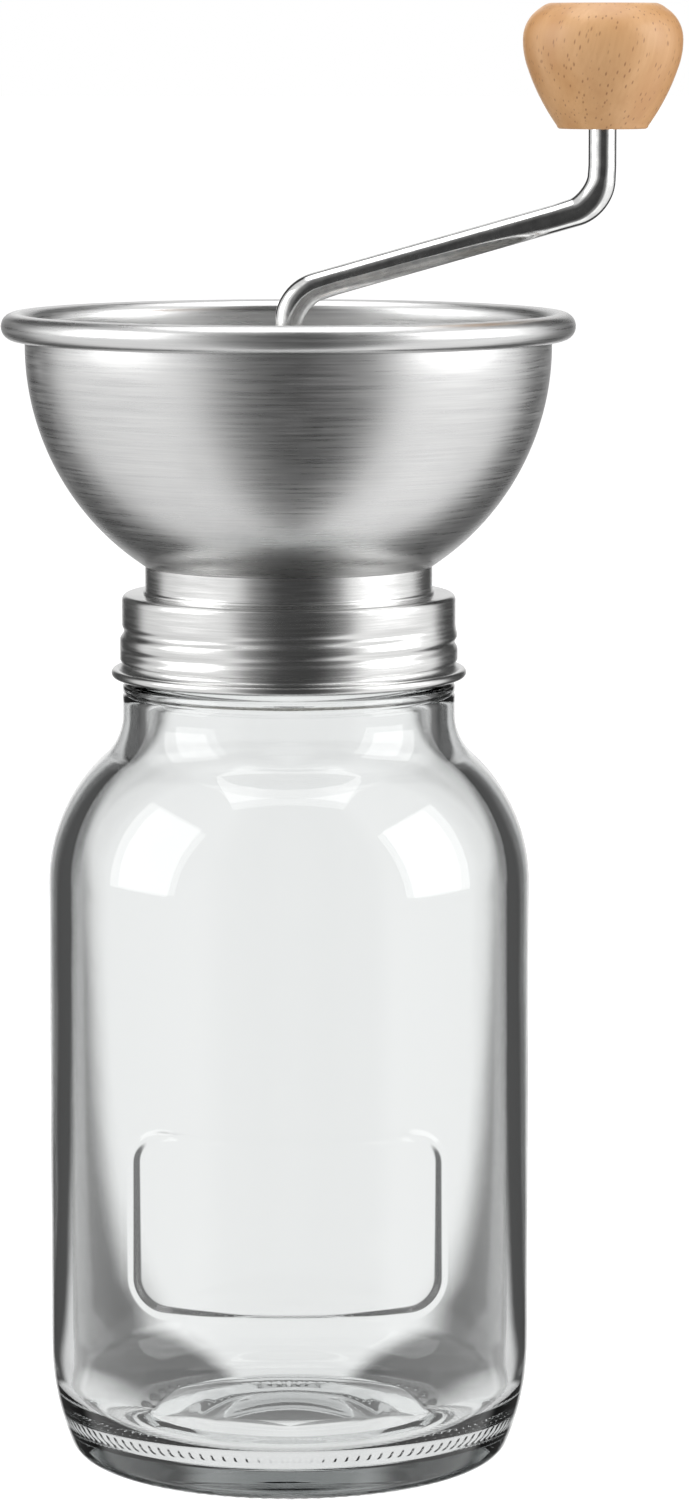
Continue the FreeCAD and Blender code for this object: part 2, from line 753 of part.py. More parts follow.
def make_inner_burr():
    """The turning ceramic cone: fine teeth at its edge, feed grooves above, lugs under it."""
    edge_top = f"({BURR_BOTTOM} + burr_edge)"
    corners = [
        ("shaft_radius + shaft_fit", BURR_BOTTOM),
        ("burr_radius", BURR_BOTTOM),
        ("burr_radius", edge_top),
        ("burr_top_radius", BURR_TOP),
        ("burr_pocket", BURR_TOP),
        ("burr_pocket", POCKET_FLOOR),
        ("shaft_radius + shaft_fit", POCKET_FLOOR),
    ]
    body = turned_part("inner_burr", corners)
    plan = new_sketch(body, "inner_tooth_plan", lift="burr_radius - tooth_depth")
    corners = [
        ("0 - tooth_width / 2", BURR_BOTTOM),
        ("tooth_width / 2", BURR_BOTTOM),
        ("tooth_width / 2 + tooth_lean", f"{BURR_BOTTOM} + tooth_height"),
        ("0 - tooth_width / 2 + tooth_lean", f"{BURR_BOTTOM} + tooth_height"),
    ]
    cut = extrude(body, outline(plan, corners), "inner_tooth", "2 * tooth_depth", cut=True, backwards=True)
    polar(body, cut, "inner_teeth", FINE_TEETH)
    feed = new_sketch(body, "feed_plan")
    slope = "atan((burr_radius - burr_top_radius) / (burr_height - burr_edge))"
    feed.setExpression(".AttachmentOffset.Rotation.Angle", bound(slope))
    feed.setExpression(".AttachmentOffset.Rotation.Axis.x", "1")
    feed.setExpression(".AttachmentOffset.Rotation.Axis.y", "0")
    feed.setExpression(".AttachmentOffset.Rotation.Axis.z", "0")
    feed.setExpression(".AttachmentOffset.Base.y", bound(edge_top))
    feed.setExpression(".AttachmentOffset.Base.z", bound(f"burr_radius - feed_depth * cos({slope})"))
    corners = [
        ("0 - feed_width / 2", "tooth_height"),
        ("feed_width / 2", "tooth_height"),
        ("feed_width + tooth_lean", "burr_height"),
        ("tooth_lean", "burr_height"),
    ]
    cut = extrude(body, outline(feed, corners), "feed_groove", "2 * feed_depth", cut=True, backwards=True)
    polar(body, cut, "feed_grooves", FEED_TEETH)
    lug = circle(new_sketch(body, "lug_plan", "XY_Plane", BURR_BOTTOM), "lug_circle", "0", "lug_radius")
    polar(body, extrude(body, lug, "lug", "lug_height", backwards=True), "lugs", LUGS)
    return body


def make_tie_screws():
    """Socket-head screws that clamp housing, collar, neck ring and bowl to the bridge, as one group."""
    body = new_body("tie_screws")
    head = new_sketch(body, "tie_head_plan", "XY_Plane", FLANGE_UNDER)
    circle(head, "tie_circle", "0", "tie_head")
    heads = extrude(body, head, "tie_head_pad", "tie_head_height", backwards=True)
    shank = new_sketch(body, "tie_shank_plan", "XY_Plane", FLANGE_UNDER)
    circle(shank, "tie_circle", "0", "tie_radius")
    length = f"{FLOOR_TOP} + tie_reach - {FLANGE_UNDER}"
    shanks = extrude(body, shank, "tie_shank_pad", length)
    drive_plan = new_sketch(body, "tie_drive_plan", "XY_Plane", f"{FLANGE_UNDER} - tie_head_height")
    hexagon(drive_plan, "tie_circle", "tie_drive")
    drives = extrude(body, drive_plan, "tie_drive_pocket", "tie_drive_depth", cut=True, backwards=True)
    pattern = polar(body, heads, "tie_group", SPOKES)
    pattern.Originals = [heads, shanks, drives]
    return body


# ---------------------------------------------------------------- bearing bridge
def make_bearing_bridge():
    """The three-armed bridge across the bowl's floor, with the boss for the shaft's bush."""
    body = new_body("bearing_bridge")
    arm = new_sketch(body, "arm_plan", "XY_Plane", BRIDGE_UNDER)
    box_outline(arm, "0", "0 - arm_width / 2", "tie_circle", "arm_width / 2")
    arms = extrude(body, arm, "arm", "arm_thickness")
    foot = circle(new_sketch(body, "foot_plan", "XY_Plane", FLOOR_TOP), "tie_circle", "0", "foot_radius_pad")
    feet = extrude(body, foot, "foot", "bridge_lift + arm_thickness")
    pattern = polar(body, arms, "arms_and_feet", SPOKES)
    pattern.Originals = [arms, feet]
    boss = circle(new_sketch(body, "boss_plan", "XY_Plane", BRIDGE_UNDER), "0", "0", "boss_radius")
    extrude(body, boss, "boss", "boss_height")
    bore = circle(new_sketch(body, "boss_bore_plan", "XY_Plane", BRIDGE_TOP), "0", "0", BUSH_OUTER)
    extrude(body, bore, "boss_bore", "boss_height", cut=True)
    tapped = circle(new_sketch(body, "tapped_plan", "XY_Plane", FLOOR_TOP), "tie_circle", "0", "tie_radius")
    hole = extrude(body, tapped, "tapped_hole", "tie_reach + tie_point", cut=True, backwards=True)
    polar(body, hole, "tapped_holes", SPOKES)
    return body


def make_shaft_bush():
    """The flanged bush pressed into the bridge's boss."""
    bore = "(shaft_radius + shaft_fit)"
    corners = [
        (bore, BRIDGE_UNDER),
        (BUSH_OUTER, BRIDGE_UNDER),
        (BUSH_OUTER, BRIDGE_TOP),
        (f"{BUSH_OUTER} + bush_flange_width", BRIDGE_TOP),
        (f"{BUSH_OUTER} + bush_flange_width", BUSH_TOP),
        (bore, BUSH_TOP),
    ]
    return turned_part("shaft_bush", corners)


# ---------------------------------------------------------------- shaft and what it carries
def make_drive_shaft():
    """The shaft: clip groove and flatted thread below, collar and hexagon above."""
    corners = [
        ("0", SHAFT_BOTTOM),
        ("shaft_radius", SHAFT_BOTTOM),
        ("shaft_radius", CLIP_BOTTOM),
        ("clip_neck", CLIP_BOTTOM),
        ("clip_neck", CLIP_TOP),
        ("shaft_radius", CLIP_TOP),
        ("shaft_radius", COLLAR_SEAT),
        ("shaft_collar", COLLAR_SEAT),
        ("shaft_collar", SOCKET_BOTTOM),
        ("0", SOCKET_BOTTOM),
    ]
    body = turned_part("drive_shaft", corners)
    top = hexagon(new_sketch(body, "hex_plan", "XY_Plane", SOCKET_BOTTOM), "0", "hex_flats / 2")
    extrude(body, top, "hex_top", "hex_length")
    flats = new_sketch(body, "flats_plan", "XY_Plane", SHAFT_BOTTOM)
    for side in ("0 - ", ""):
        near = f"{side}drive_flats / 2"
        far = f"{side}2 * shaft_radius"
        box_outline(flats, near, "0 - 2 * shaft_radius", far, "2 * shaft_radius")
    extrude(body, flats, "drive_flats_cut", f"{DRIVE_TOP} - {SHAFT_BOTTOM}", cut=True, backwards=True)
    return body


def make_burr_driver():
    """The steel plate that the shaft's flats turn, with holes for the inner burr's lugs."""
    body = ring_part("burr_driver", "shaft_radius + shaft_fit", "driver_radius", DRIVER_BOTTOM, DRIVER_TOP)
    for side in ("0 - ", ""):
        name = "left" if side else "right"
        fill = new_sketch(body, f"{name}_key_plan", "XY_Plane", DRIVER_BOTTOM)
        near = f"{side}(drive_flats / 2 + shaft_fit)"
        far = f"{side}(shaft_radius + 2 * shaft_fit)"
        box_outline(fill, near, "0 - shaft_radius / 2", far, "shaft_radius / 2")
        extrude(body, fill, f"{name}_key", "driver_thickness")
    drill_round(body, "lug_holes", "lug_circle", "lug_radius + lug_gap", DRIVER_TOP, "driver_thickness", LUGS)
    return body


def make_adjusting_dial():
    """The thin grind-setting dial, scalloped for the fingers."""
    body = ring_part("adjusting_dial", "insert_radius", "dial_radius", DIAL_BOTTOM, DIAL_TOP)
    reach = "dial_radius + scallop_radius - scallop_depth"
    drill_round(body, "scallops", reach, "scallop_radius", DIAL_TOP, "dial_thickness", SCALLOPS)
    return body


def make_end_clip():
    """The open clip in the groove at the shaft's lower end."""
    body = ring_part("end_clip", "clip_neck", "clip_radius", CLIP_BOTTOM, CLIP_TOP)
    mouth = new_sketch(body, "clip_mouth_plan", "XY_Plane", CLIP_TOP)
    box_outline(mouth, "0 - clip_mouth / 2", "0", "clip_mouth / 2", "2 * clip_radius")
    extrude(body, mouth, "clip_opening", "clip_thickness", cut=True)
    return body


def make_burr_spring():
    """The spring that holds the inner burr down against its driver and dial."""
    body = new_body("burr_spring")
    start = f"({POCKET_FLOOR} + spring_wire)"
    wire = circle(new_sketch(body, "spring_wire_profile"), "spring_radius", start, "spring_wire")
    travel = f"({SPRING_TOP} - {POCKET_FLOOR} - 2 * spring_wire)"
    helix(body, wire, "spring_coil", f"{travel} / spring_coils", travel)
    return body


# ---------------------------------------------------------------- crank and knob
def make_crank_socket():
    """The sleeve that joins the crank to the shaft: a hexagon below, a round seat above, a grub screw hole."""
    body = ring_part("crank_socket", "rod_radius", "socket_radius", SOCKET_BOTTOM, SOCKET_TOP)
    web = circle(new_sketch(body, "web_plan", "XY_Plane", SOCKET_BOTTOM), "0", "0", "rod_radius + hex_gap")
    extrude(body, web, "web", f"{LEG_BOTTOM} - {SOCKET_BOTTOM}")
    hexagonal = hexagon(new_sketch(body, "socket_hex", "XY_Plane", SOCKET_BOTTOM), "0", "hex_flats / 2 + hex_gap")
    depth = f"{LEG_BOTTOM} - {SOCKET_BOTTOM} - socket_web"
    extrude(body, hexagonal, "hex_bore", depth, cut=True, backwards=True)
    side = circle(new_sketch(body, "grub_plan"), "0", f"{SOCKET_BOTTOM} + hex_length / 2", "grub_radius")
    extrude(body, side, "grub_hole", "socket_radius + grub_radius", cut=True, backwards=True)
    return body


def make_grub_screw():
    """The grub screw in the socket's side, bearing on one flat of the shaft."""
    body = new_body("grub_screw")
    height = f"({SOCKET_BOTTOM} + hex_length / 2)"
    plan = circle(new_sketch(body, "grub_body", lift="hex_flats / 2"), "0", height, "grub_radius")
    extrude(body, plan, "grub", "socket_radius - grub_recess - hex_flats / 2")
    drive_plan = new_sketch(body, "grub_drive_plan", lift="socket_radius - grub_recess")
    circle(drive_plan, "0", height, "grub_drive")
    extrude(body, drive_plan, "grub_socket", "grub_drive_depth", cut=True)
    return body


def make_crank_arm():
    """The bent round rod: a leg into the socket, a rising arm, and a stem that carries the knob."""
    body = new_body("crank_arm")
    tangent = f"(rod_bend * tan((90 deg - {CRANK_SLOPE}) / 2))"
    along = f"({tangent} * cos({CRANK_SLOPE}))"
    up = f"({tangent} * sin({CRANK_SLOPE}))"
    corners = [
        ("0", LEG_BOTTOM),
        ("0", f"{ELBOW} - {tangent}"),
        (along, f"{ELBOW} + {up}"),
        (f"crank_reach - {along}", f"{STEM_FOOT} - {up}"),
        ("crank_reach", f"{STEM_FOOT} + {tangent}"),
        ("crank_reach", STEM_SHOULDER),
    ]
    arcs = {1: ("rod_bend", True), 3: ("rod_bend", False)}
    path = outline(new_sketch(body, "rod_path"), corners, arcs, closed=False)
    section = circle(new_sketch(body, "rod_section", "XY_Plane", LEG_BOTTOM), "0", "0", "rod_radius")
    rod = body.newObject("PartDesign::AdditivePipe", "rod")
    rod.Profile = section
    rod.Spine = (path, [])
    neck = new_sketch(body, "stem_neck_plan", "XY_Plane", STEM_SHOULDER)
    circle(neck, "crank_reach", "0", "stem_neck")
    extrude(body, neck, "stem_neck_pad", f"{STEM_TOP} - {STEM_SHOULDER}")
    tapped = new_sketch(body, "stem_thread_plan", "XY_Plane", STEM_TOP)
    circle(tapped, "crank_reach", "0", "cap_shank")
    extrude(body, tapped, "stem_thread", "cap_reach + cap_shank", cut=True)
    return body


def turned_at_knob(label, corners, arcs=None):
    """A body turned about the knob's own axis."""
    body = turned_part(label, corners, arcs)
    body.setExpression(".Placement.Base.x", bound("crank_reach"))
    return body


def make_crank_knob():
    """The turned wooden knob, with a stepped bore for the stem, its bush and its screw."""
    flank = "((knob_radius - knob_foot)^2 + knob_widest^2) / (2 * (knob_radius - knob_foot))"
    crown_rise = "(knob_height - knob_widest)"
    crown = f"((knob_radius - knob_crown)^2 + {crown_rise}^2) / (2 * (knob_radius - knob_crown))"
    corners = [
        ("rod_radius + knob_entry", KNOB_BOTTOM),
        ("knob_foot", KNOB_BOTTOM),
        ("knob_radius", f"{KNOB_BOTTOM} + knob_widest"),
        ("knob_crown", KNOB_TOP),
        ("knob_bore", KNOB_TOP),
        ("knob_bore", BORE_FLOOR),
        (STEM_BUSH, BORE_FLOOR),
        (STEM_BUSH, f"{STEM_SHOULDER} + stem_fit"),
        ("rod_radius + knob_entry", f"{STEM_SHOULDER} + stem_fit"),
    ]
    arcs = {1: (flank, False), 2: (crown, False)}
    return turned_at_knob("crank_knob", corners, arcs)


def make_cap_screw():
    """The screw down into the stem that keeps the knob on."""
    corners = [
        ("0", f"{STEM_TOP} - cap_reach"),
        ("cap_shank", f"{STEM_TOP} - cap_reach"),
        ("cap_shank", CAP_SEAT),
        ("cap_radius", CAP_SEAT),
        ("cap_radius", f"{CAP_SEAT} + cap_height"),
        ("0", f"{CAP_SEAT} + cap_height"),
    ]
    body = turned_at_knob("knob_screw", corners)
    socket = hexagon(
        new_sketch(body, "cap_drive_plan", "XY_Plane", f"{CAP_SEAT} + cap_height"), "0", "cap_drive"
    )
    extrude(body, socket, "cap_drive_pocket", "cap_drive_depth", cut=True)
    return body


def tube(corners):
    """The four corners of a plain tube, from its inner and outer radius and its two heights."""
    inner, outer, bottom, top = corners
    return [(inner, bottom), (outer, bottom), (outer, top), (inner, top)]


def make_plain_rings():
    """The seal, neck ring, washers and bushes that are plain rings."""
    bore = "shaft_radius + shaft_fit"
    rings = [
        ring_part("mouth_seal", "mouth_radius + seal_inset", f"{COLLAR_INNER} - seal_inset", "jar_height",
                  DISC_UNDER),
        ring_part("neck_ring", "ring_radius - ring_wall", "ring_radius", COLLAR_TOP, FLOOR_UNDER),
        ring_part("thrust_washer", bore, "washer_radius", f"{BUSH_TOP} + thrust_gap", COLLAR_SEAT),
        ring_part("spring_washer", bore, "washer_radius", SPRING_TOP, f"{BRIDGE_UNDER} - thrust_gap"),
        ring_part("dial_insert", bore, "insert_radius",
                  f"{DIAL_BOTTOM} + insert_short", INSERT_TOP),
    ]
    bush = ("stem_neck + stem_fit", STEM_BUSH, f"{STEM_SHOULDER} + stem_fit", BORE_FLOOR)
    rings.append(turned_at_knob("knob_bush", tube(bush)))
    washer = ("cap_shank", "knob_bore - knob_washer_gap", STEM_TOP, CAP_SEAT)
    rings.append(turned_at_knob("knob_washer", tube(washer)))
    return rings


# ---------------------------------------------------------------- build, check and write
parts = [
    make_jar(),
    make_screw_collar(),
    make_hopper_bowl(),
    make_burr_housing(),
    make_snap_ring(),
    make_outer_burr(),
    make_inner_burr(),
    make_tie_screws(),
    make_bearing_bridge(),
    make_shaft_bush(),
    make_drive_shaft(),
    make_burr_driver(),
    make_adjusting_dial(),
    make_end_clip(),
    make_burr_spring(),
    make_crank_socket(),
    make_grub_screw(),
    make_crank_arm(),
    make_crank_knob(),
    make_cap_screw(),
    *make_plain_rings(),
]
doc.recompute()

for item in doc.Objects:
    if {"Invalid", "Error"} & set(item.State):
        raise RuntimeError(f"{item.Label} did not compute: {item.getStatusString()}")
for part in parts:
    if part.Shape.isNull() or not part.Shape.isValid():
        raise RuntimeError(f"{part.Label} has no valid shape")

os.makedirs("parts", exist_ok=True)
for part in parts:
    part.Shape.exportStep(f"parts/{part.Label}.step")
    print(part.Label, "solids", len(part.Shape.Solids), "volume", round(part.Shape.Volume, 1))
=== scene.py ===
"""Looks of a hand crank coffee grinder: a steel bowl and burr head on a glass storage jar.

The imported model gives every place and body. Sizes in the classes are in millimetres, as a maker
would measure the piece; meshes are in metres, in the frame's own coordinates.
"""

import logging
import math
from dataclasses import dataclass, field
from enum import Enum
from typing import Callable

import bmesh
import bpy
from mathutils import Matrix, Vector


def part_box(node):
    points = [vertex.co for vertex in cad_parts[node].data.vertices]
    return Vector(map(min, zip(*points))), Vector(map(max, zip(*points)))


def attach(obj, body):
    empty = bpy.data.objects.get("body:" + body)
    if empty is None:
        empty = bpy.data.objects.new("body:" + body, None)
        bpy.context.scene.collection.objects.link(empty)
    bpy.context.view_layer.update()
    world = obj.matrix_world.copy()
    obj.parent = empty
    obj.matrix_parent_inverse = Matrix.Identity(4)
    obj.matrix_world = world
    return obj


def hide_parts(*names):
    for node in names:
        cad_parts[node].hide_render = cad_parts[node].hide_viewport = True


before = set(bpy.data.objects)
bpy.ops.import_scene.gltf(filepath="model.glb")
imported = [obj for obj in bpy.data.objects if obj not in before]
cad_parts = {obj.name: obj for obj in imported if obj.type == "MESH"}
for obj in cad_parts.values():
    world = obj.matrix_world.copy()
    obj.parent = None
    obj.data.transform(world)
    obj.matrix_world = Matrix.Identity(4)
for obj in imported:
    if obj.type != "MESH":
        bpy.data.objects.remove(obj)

LOG = logging.getLogger("grinder")
MM = 0.001
MERGE_MM = 1e-4
FULL_TURN = 2 * math.pi
SUFFIX = "_finished"

Colour = tuple[float, float, float]
Point = tuple[float, float]


class Slot(Enum):
    """The record's material slots."""

    GLASS = "clear_glass"
    SILICONE = "silicone"
    SATIN = "satin_steel"
    BRUSHED = "brushed_steel"
    POLISHED = "polished_steel"
    TURNED = "turned_steel"
    SPRING = "spring_steel"
    SCREW = "screw_steel"
    NYLON = "white_nylon"
    CERAMIC = "ceramic"
    BRONZE = "bronze"
    BEECH = "beech"


# ---------------------------------------------------------------- curves and ramps
def smooth(low: float, high: float, value: float) -> float:
    """A smooth step from 0 at low to 1 at high, or falling where high is under low."""
    share = min(max((value - low) / (high - low), 0.0), 1.0)
    return share * share * (3 - 2 * share)


def hump(distance: float, reach: float) -> float:
    """A smooth hump: 1 at no distance and 0 from reach on."""
    return 0.5 + 0.5 * math.cos(math.pi * min(abs(distance) / reach, 1.0))


@dataclass
class Helix:
    """A right-hand thread line: where it starts, its pitch, how far it climbs, and how it runs out."""

    start_angle: float
    start_height: float
    pitch: float
    turns: float
    run_out: float = math.radians(22)

    def pressed(self, angle: float, height: float, reach: float) -> float:
        """How strongly the thread shapes a point.

        Args:
            angle: The point's direction about the axis, in radians.
            height: The point's height, in millimetres.
            reach: Half the thread's width, in millimetres.

        Returns:
            1 on the thread's line, falling to 0 at its sides and past its ends.
        """
        total = 0.0
        along = (angle - self.start_angle) % FULL_TURN
        while along < self.turns * FULL_TURN:
            line = self.start_height + self.pitch * along / FULL_TURN
            ends = smooth(0, self.run_out, along)
            ends *= smooth(self.turns * FULL_TURN, self.turns * FULL_TURN - self.run_out, along)
            total = max(total, ends * hump(height - line, reach))
            along += FULL_TURN
        return total


@dataclass
class Profile:
    """An outline of radius and height in millimetres, grown point by point."""

    points: list[Point] = field(default_factory=list)

    def to(self, radius: float, height: float, steps: int = 1) -> "Profile":
        """Adds a straight run in equal steps, or the first point."""
        if not self.points:
            self.points.append((radius, height))
            return self
        start = self.points[-1]
        for step in range(1, steps + 1):
            share = step / steps
            across = start[0] + (radius - start[0]) * share
            self.points.append((across, start[1] + (height - start[1]) * share))
        return self

    def arc(self, radius: float, height: float, bend: float, steps: int = 8) -> "Profile":
        """Adds an arc to a point.

        Args:
            radius: The end point's radius.
            height: The end point's height.
            bend: The arc's own radius; it bulges to the right of the way along, or left if negative.
            steps: The number of straight pieces.

        Returns:
            The profile, so that calls can be chained.
        """
        start = Vector(self.points[-1])
        end = Vector((radius, height))
        chord = end - start
        size = max(abs(bend), chord.length / 2)
        side = Vector((-chord.y, chord.x)).normalized() * math.copysign(1.0, bend)
        centre = (start + end) / 2 + side * math.sqrt(size**2 - (chord.length / 2) ** 2)
        first = start - centre
        turn = first.angle_signed(end - centre)
        for step in range(1, steps + 1):
            spoke = first.copy()
            spoke.rotate(Matrix.Rotation(-turn * step / steps, 2))
            self.points.append(tuple(centre + spoke))
        return self


# ---------------------------------------------------------------- meshes
def spun(profile: Profile, steps: int, closed: bool = True) -> bmesh.types.BMesh:
    """Turns a profile about Z into a closed shell.

    Args:
        profile: The outline; an open one starts and ends on the axis.
        steps: The number of flat sides round the axis.
        closed: Whether the outline's last point joins its first.

    Returns:
        The new mesh, in metres.
    """
    shell = bmesh.new()
    verts = [shell.verts.new((radius * MM, 0, height * MM)) for radius, height in profile.points]
    pairs = list(zip(verts, verts[1:]))
    if closed:
        pairs.append((verts[-1], verts[0]))
    edges = [shell.edges.new(pair) for pair in pairs]
    bmesh.ops.spin(
        shell, geom=verts + edges, cent=(0, 0, 0), axis=(0, 0, 1), dvec=(0, 0, 0),
        angle=FULL_TURN, steps=steps, use_merge=True,
    )
    bmesh.ops.remove_doubles(shell, verts=shell.verts, dist=MM * MERGE_MM)
    bmesh.ops.dissolve_degenerate(shell, edges=shell.edges, dist=MM * MERGE_MM / 10)
    bmesh.ops.recalc_face_normals(shell, faces=shell.faces)
    return shell


def refine(shell: bmesh.types.BMesh, wanted: Callable[[Vector], bool]) -> None:
    """Splits the faces whose middle is wanted into four, given a test of a point in millimetres."""
    faces = [face for face in shell.faces if wanted(face.calc_center_median() / MM)]
    edges = {edge for face in faces for edge in face.edges}
    bmesh.ops.subdivide_edges(shell, edges=list(edges), cuts=1, use_grid_fill=True)


def reshape(shell: bmesh.types.BMesh, move: Callable[[float, float, float], Point]) -> None:
    """Moves each point by its angle, radius and height, in radians and millimetres.

    Args:
        shell: The mesh to shape.
        move: Gives the new radius and height of a point.
    """
    for vert in shell.verts:
        radius = math.hypot(vert.co.x, vert.co.y)
        angle = math.atan2(vert.co.y, vert.co.x)
        new_radius, height = move(angle, radius / MM, vert.co.z / MM)
        if radius > 0:
            vert.co.x *= new_radius * MM / radius
            vert.co.y *= new_radius * MM / radius
        vert.co.z = height * MM


def shown(name: str, shell: bmesh.types.BMesh, sharp_degrees: float = 180.0) -> bpy.types.Object:
    """Makes a smooth-shaded object of a mesh.

    Args:
        name: The object's name.
        shell: The mesh, which is freed.
        sharp_degrees: Edges that turn more than this stay crisp.

    Returns:
        The new object, at the origin.
    """
    mesh = bpy.data.meshes.new(name)
    shell.to_mesh(mesh)
    shell.free()
    mesh.shade_smooth()
    mesh.set_sharp_from_angle(angle=math.radians(sharp_degrees))
    piece = bpy.data.objects.new(name, mesh)
    bpy.context.scene.collection.objects.link(piece)
    return piece


def place(piece: bpy.types.Object, node: str, body: str, material: bpy.types.Material) -> None:
    """Dresses a piece, ties it to its body and lets it stand for its CAD node."""
    piece.data.materials.clear()
    piece.data.materials.append(material)
    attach(piece, body)
    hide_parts(node)
    LOG.info("%s rides on %s with %d faces", piece.name, body, len(piece.data.polygons))


# ---------------------------------------------------------------- shader groups
class NodeWork:
    """Adds and joins the nodes of one tree."""

    tree: bpy.types.NodeTree

    def add(self, kind: str, **settings: object) -> bpy.types.Node:
        """Adds a node and sets its properties."""
        node = self.tree.nodes.new("ShaderNode" + kind)
        for key, value in settings.items():
            setattr(node, key, value)
        return node

    def join(self, source: bpy.types.NodeSocket, target: bpy.types.NodeSocket) -> None:
        """Links two sockets."""
        self.tree.links.new(source, target)


class GroupMaker(NodeWork):
    """Builds one shader node group with named inputs and outputs."""

    def __init__(self, name: str, inputs: dict[str, float], outputs: list[str]) -> None:
        """Makes the group's sockets and its two end nodes."""
        self.tree = bpy.data.node_groups.new(name, "ShaderNodeTree")
        for label, value in inputs.items():
            socket = self.tree.interface.new_socket(label, in_out="INPUT", socket_type="NodeSocketFloat")
            socket.default_value = value
        for label in outputs:
            self.tree.interface.new_socket(label, in_out="OUTPUT", socket_type="NodeSocketFloat")
        self.enter = self.tree.nodes.new("NodeGroupInput")
        self.leave = self.tree.nodes.new("NodeGroupOutput")

    def sum(self, kind: str, first: object, second: object = 0.0,
            third: object = 0.0) -> bpy.types.NodeSocket:
        """A Math node on numbers or sockets."""
        node = self.add("Math", operation=kind)
        for socket, value in zip(node.inputs, (first, second, third)):
            if isinstance(value, bpy.types.NodeSocket):
                self.join(value, socket)
            else:
                socket.default_value = value
        return node.outputs[0]


def make_turned_lines() -> bpy.types.NodeTree:
    """Fine lines that run round a turned or spun piece.

    Returns:
        A group whose Lines and Bands change with height and radius, and slowly round the axis.
    """
    group = GroupMaker("turned_lines", {"Density": 1500.0, "Wander": 2.0, "Centre": 0.0}, ["Lines", "Bands"])
    place_node = group.add("TexCoord")
    split = group.add("SeparateXYZ")
    group.join(place_node.outputs["Object"], split.inputs[0])
    across = group.sum("SUBTRACT", split.outputs[0], group.enter.outputs["Centre"])
    square = group.sum("MULTIPLY", across, across)
    square = group.sum("MULTIPLY_ADD", split.outputs[1], split.outputs[1], square)
    radius = group.sum("MAXIMUM", group.sum("SQRT", square), 1e-5)
    along = group.sum("MULTIPLY_ADD", radius, 0.8, split.outputs[2])
    for label, share, detail in (("Lines", 1.0, 3.0), ("Bands", 0.12, 2.0)):
        merge = group.add("CombineXYZ")
        for axis, offset in enumerate((across, split.outputs[1])):
            share_of_radius = group.sum("DIVIDE", offset, radius)
            slow = group.sum("MULTIPLY", share_of_radius, group.enter.outputs["Wander"])
            group.join(slow, merge.inputs[axis])
        density = group.sum("MULTIPLY", group.enter.outputs["Density"], share)
        group.join(group.sum("MULTIPLY", along, density), merge.inputs[2])
        noise = group.add("TexNoise", noise_dimensions="3D")
        noise.inputs["Scale"].default_value = 1.0
        noise.inputs["Detail"].default_value = detail
        noise.inputs["Roughness"].default_value = 0.65
        group.join(merge.outputs[0], noise.inputs["Vector"])
        group.join(noise.outputs[0], group.leave.inputs[label])
    return group.tree


def make_handling() -> bpy.types.NodeTree:
    """Faint smudges and specks left by hands and dust.

    Returns:
        A group with a soft Smudge and a sparse Speck, each from 0 to 1.
    """
    group = GroupMaker("handling", {"Scale": 60.0}, ["Smudge", "Speck"])
    place_node = group.add("TexCoord")
    for label, share, low, high in (("Smudge", 1.0, 0.45, 0.75), ("Speck", 22.0, 0.68, 0.78)):
        noise = group.add("TexNoise")
        noise.inputs["Detail"].default_value = 4.0
        group.join(place_node.outputs["Object"], noise.inputs["Vector"])
        group.join(group.sum("MULTIPLY", group.enter.outputs["Scale"], share), noise.inputs["Scale"])
        ramp = group.add("MapRange", interpolation_type="SMOOTHSTEP")
        ramp.inputs["From Min"].default_value = low
        ramp.inputs["From Max"].default_value = high
        group.join(noise.outputs[0], ramp.inputs["Value"])
        group.join(ramp.outputs[0], group.leave.inputs[label])
    return group.tree


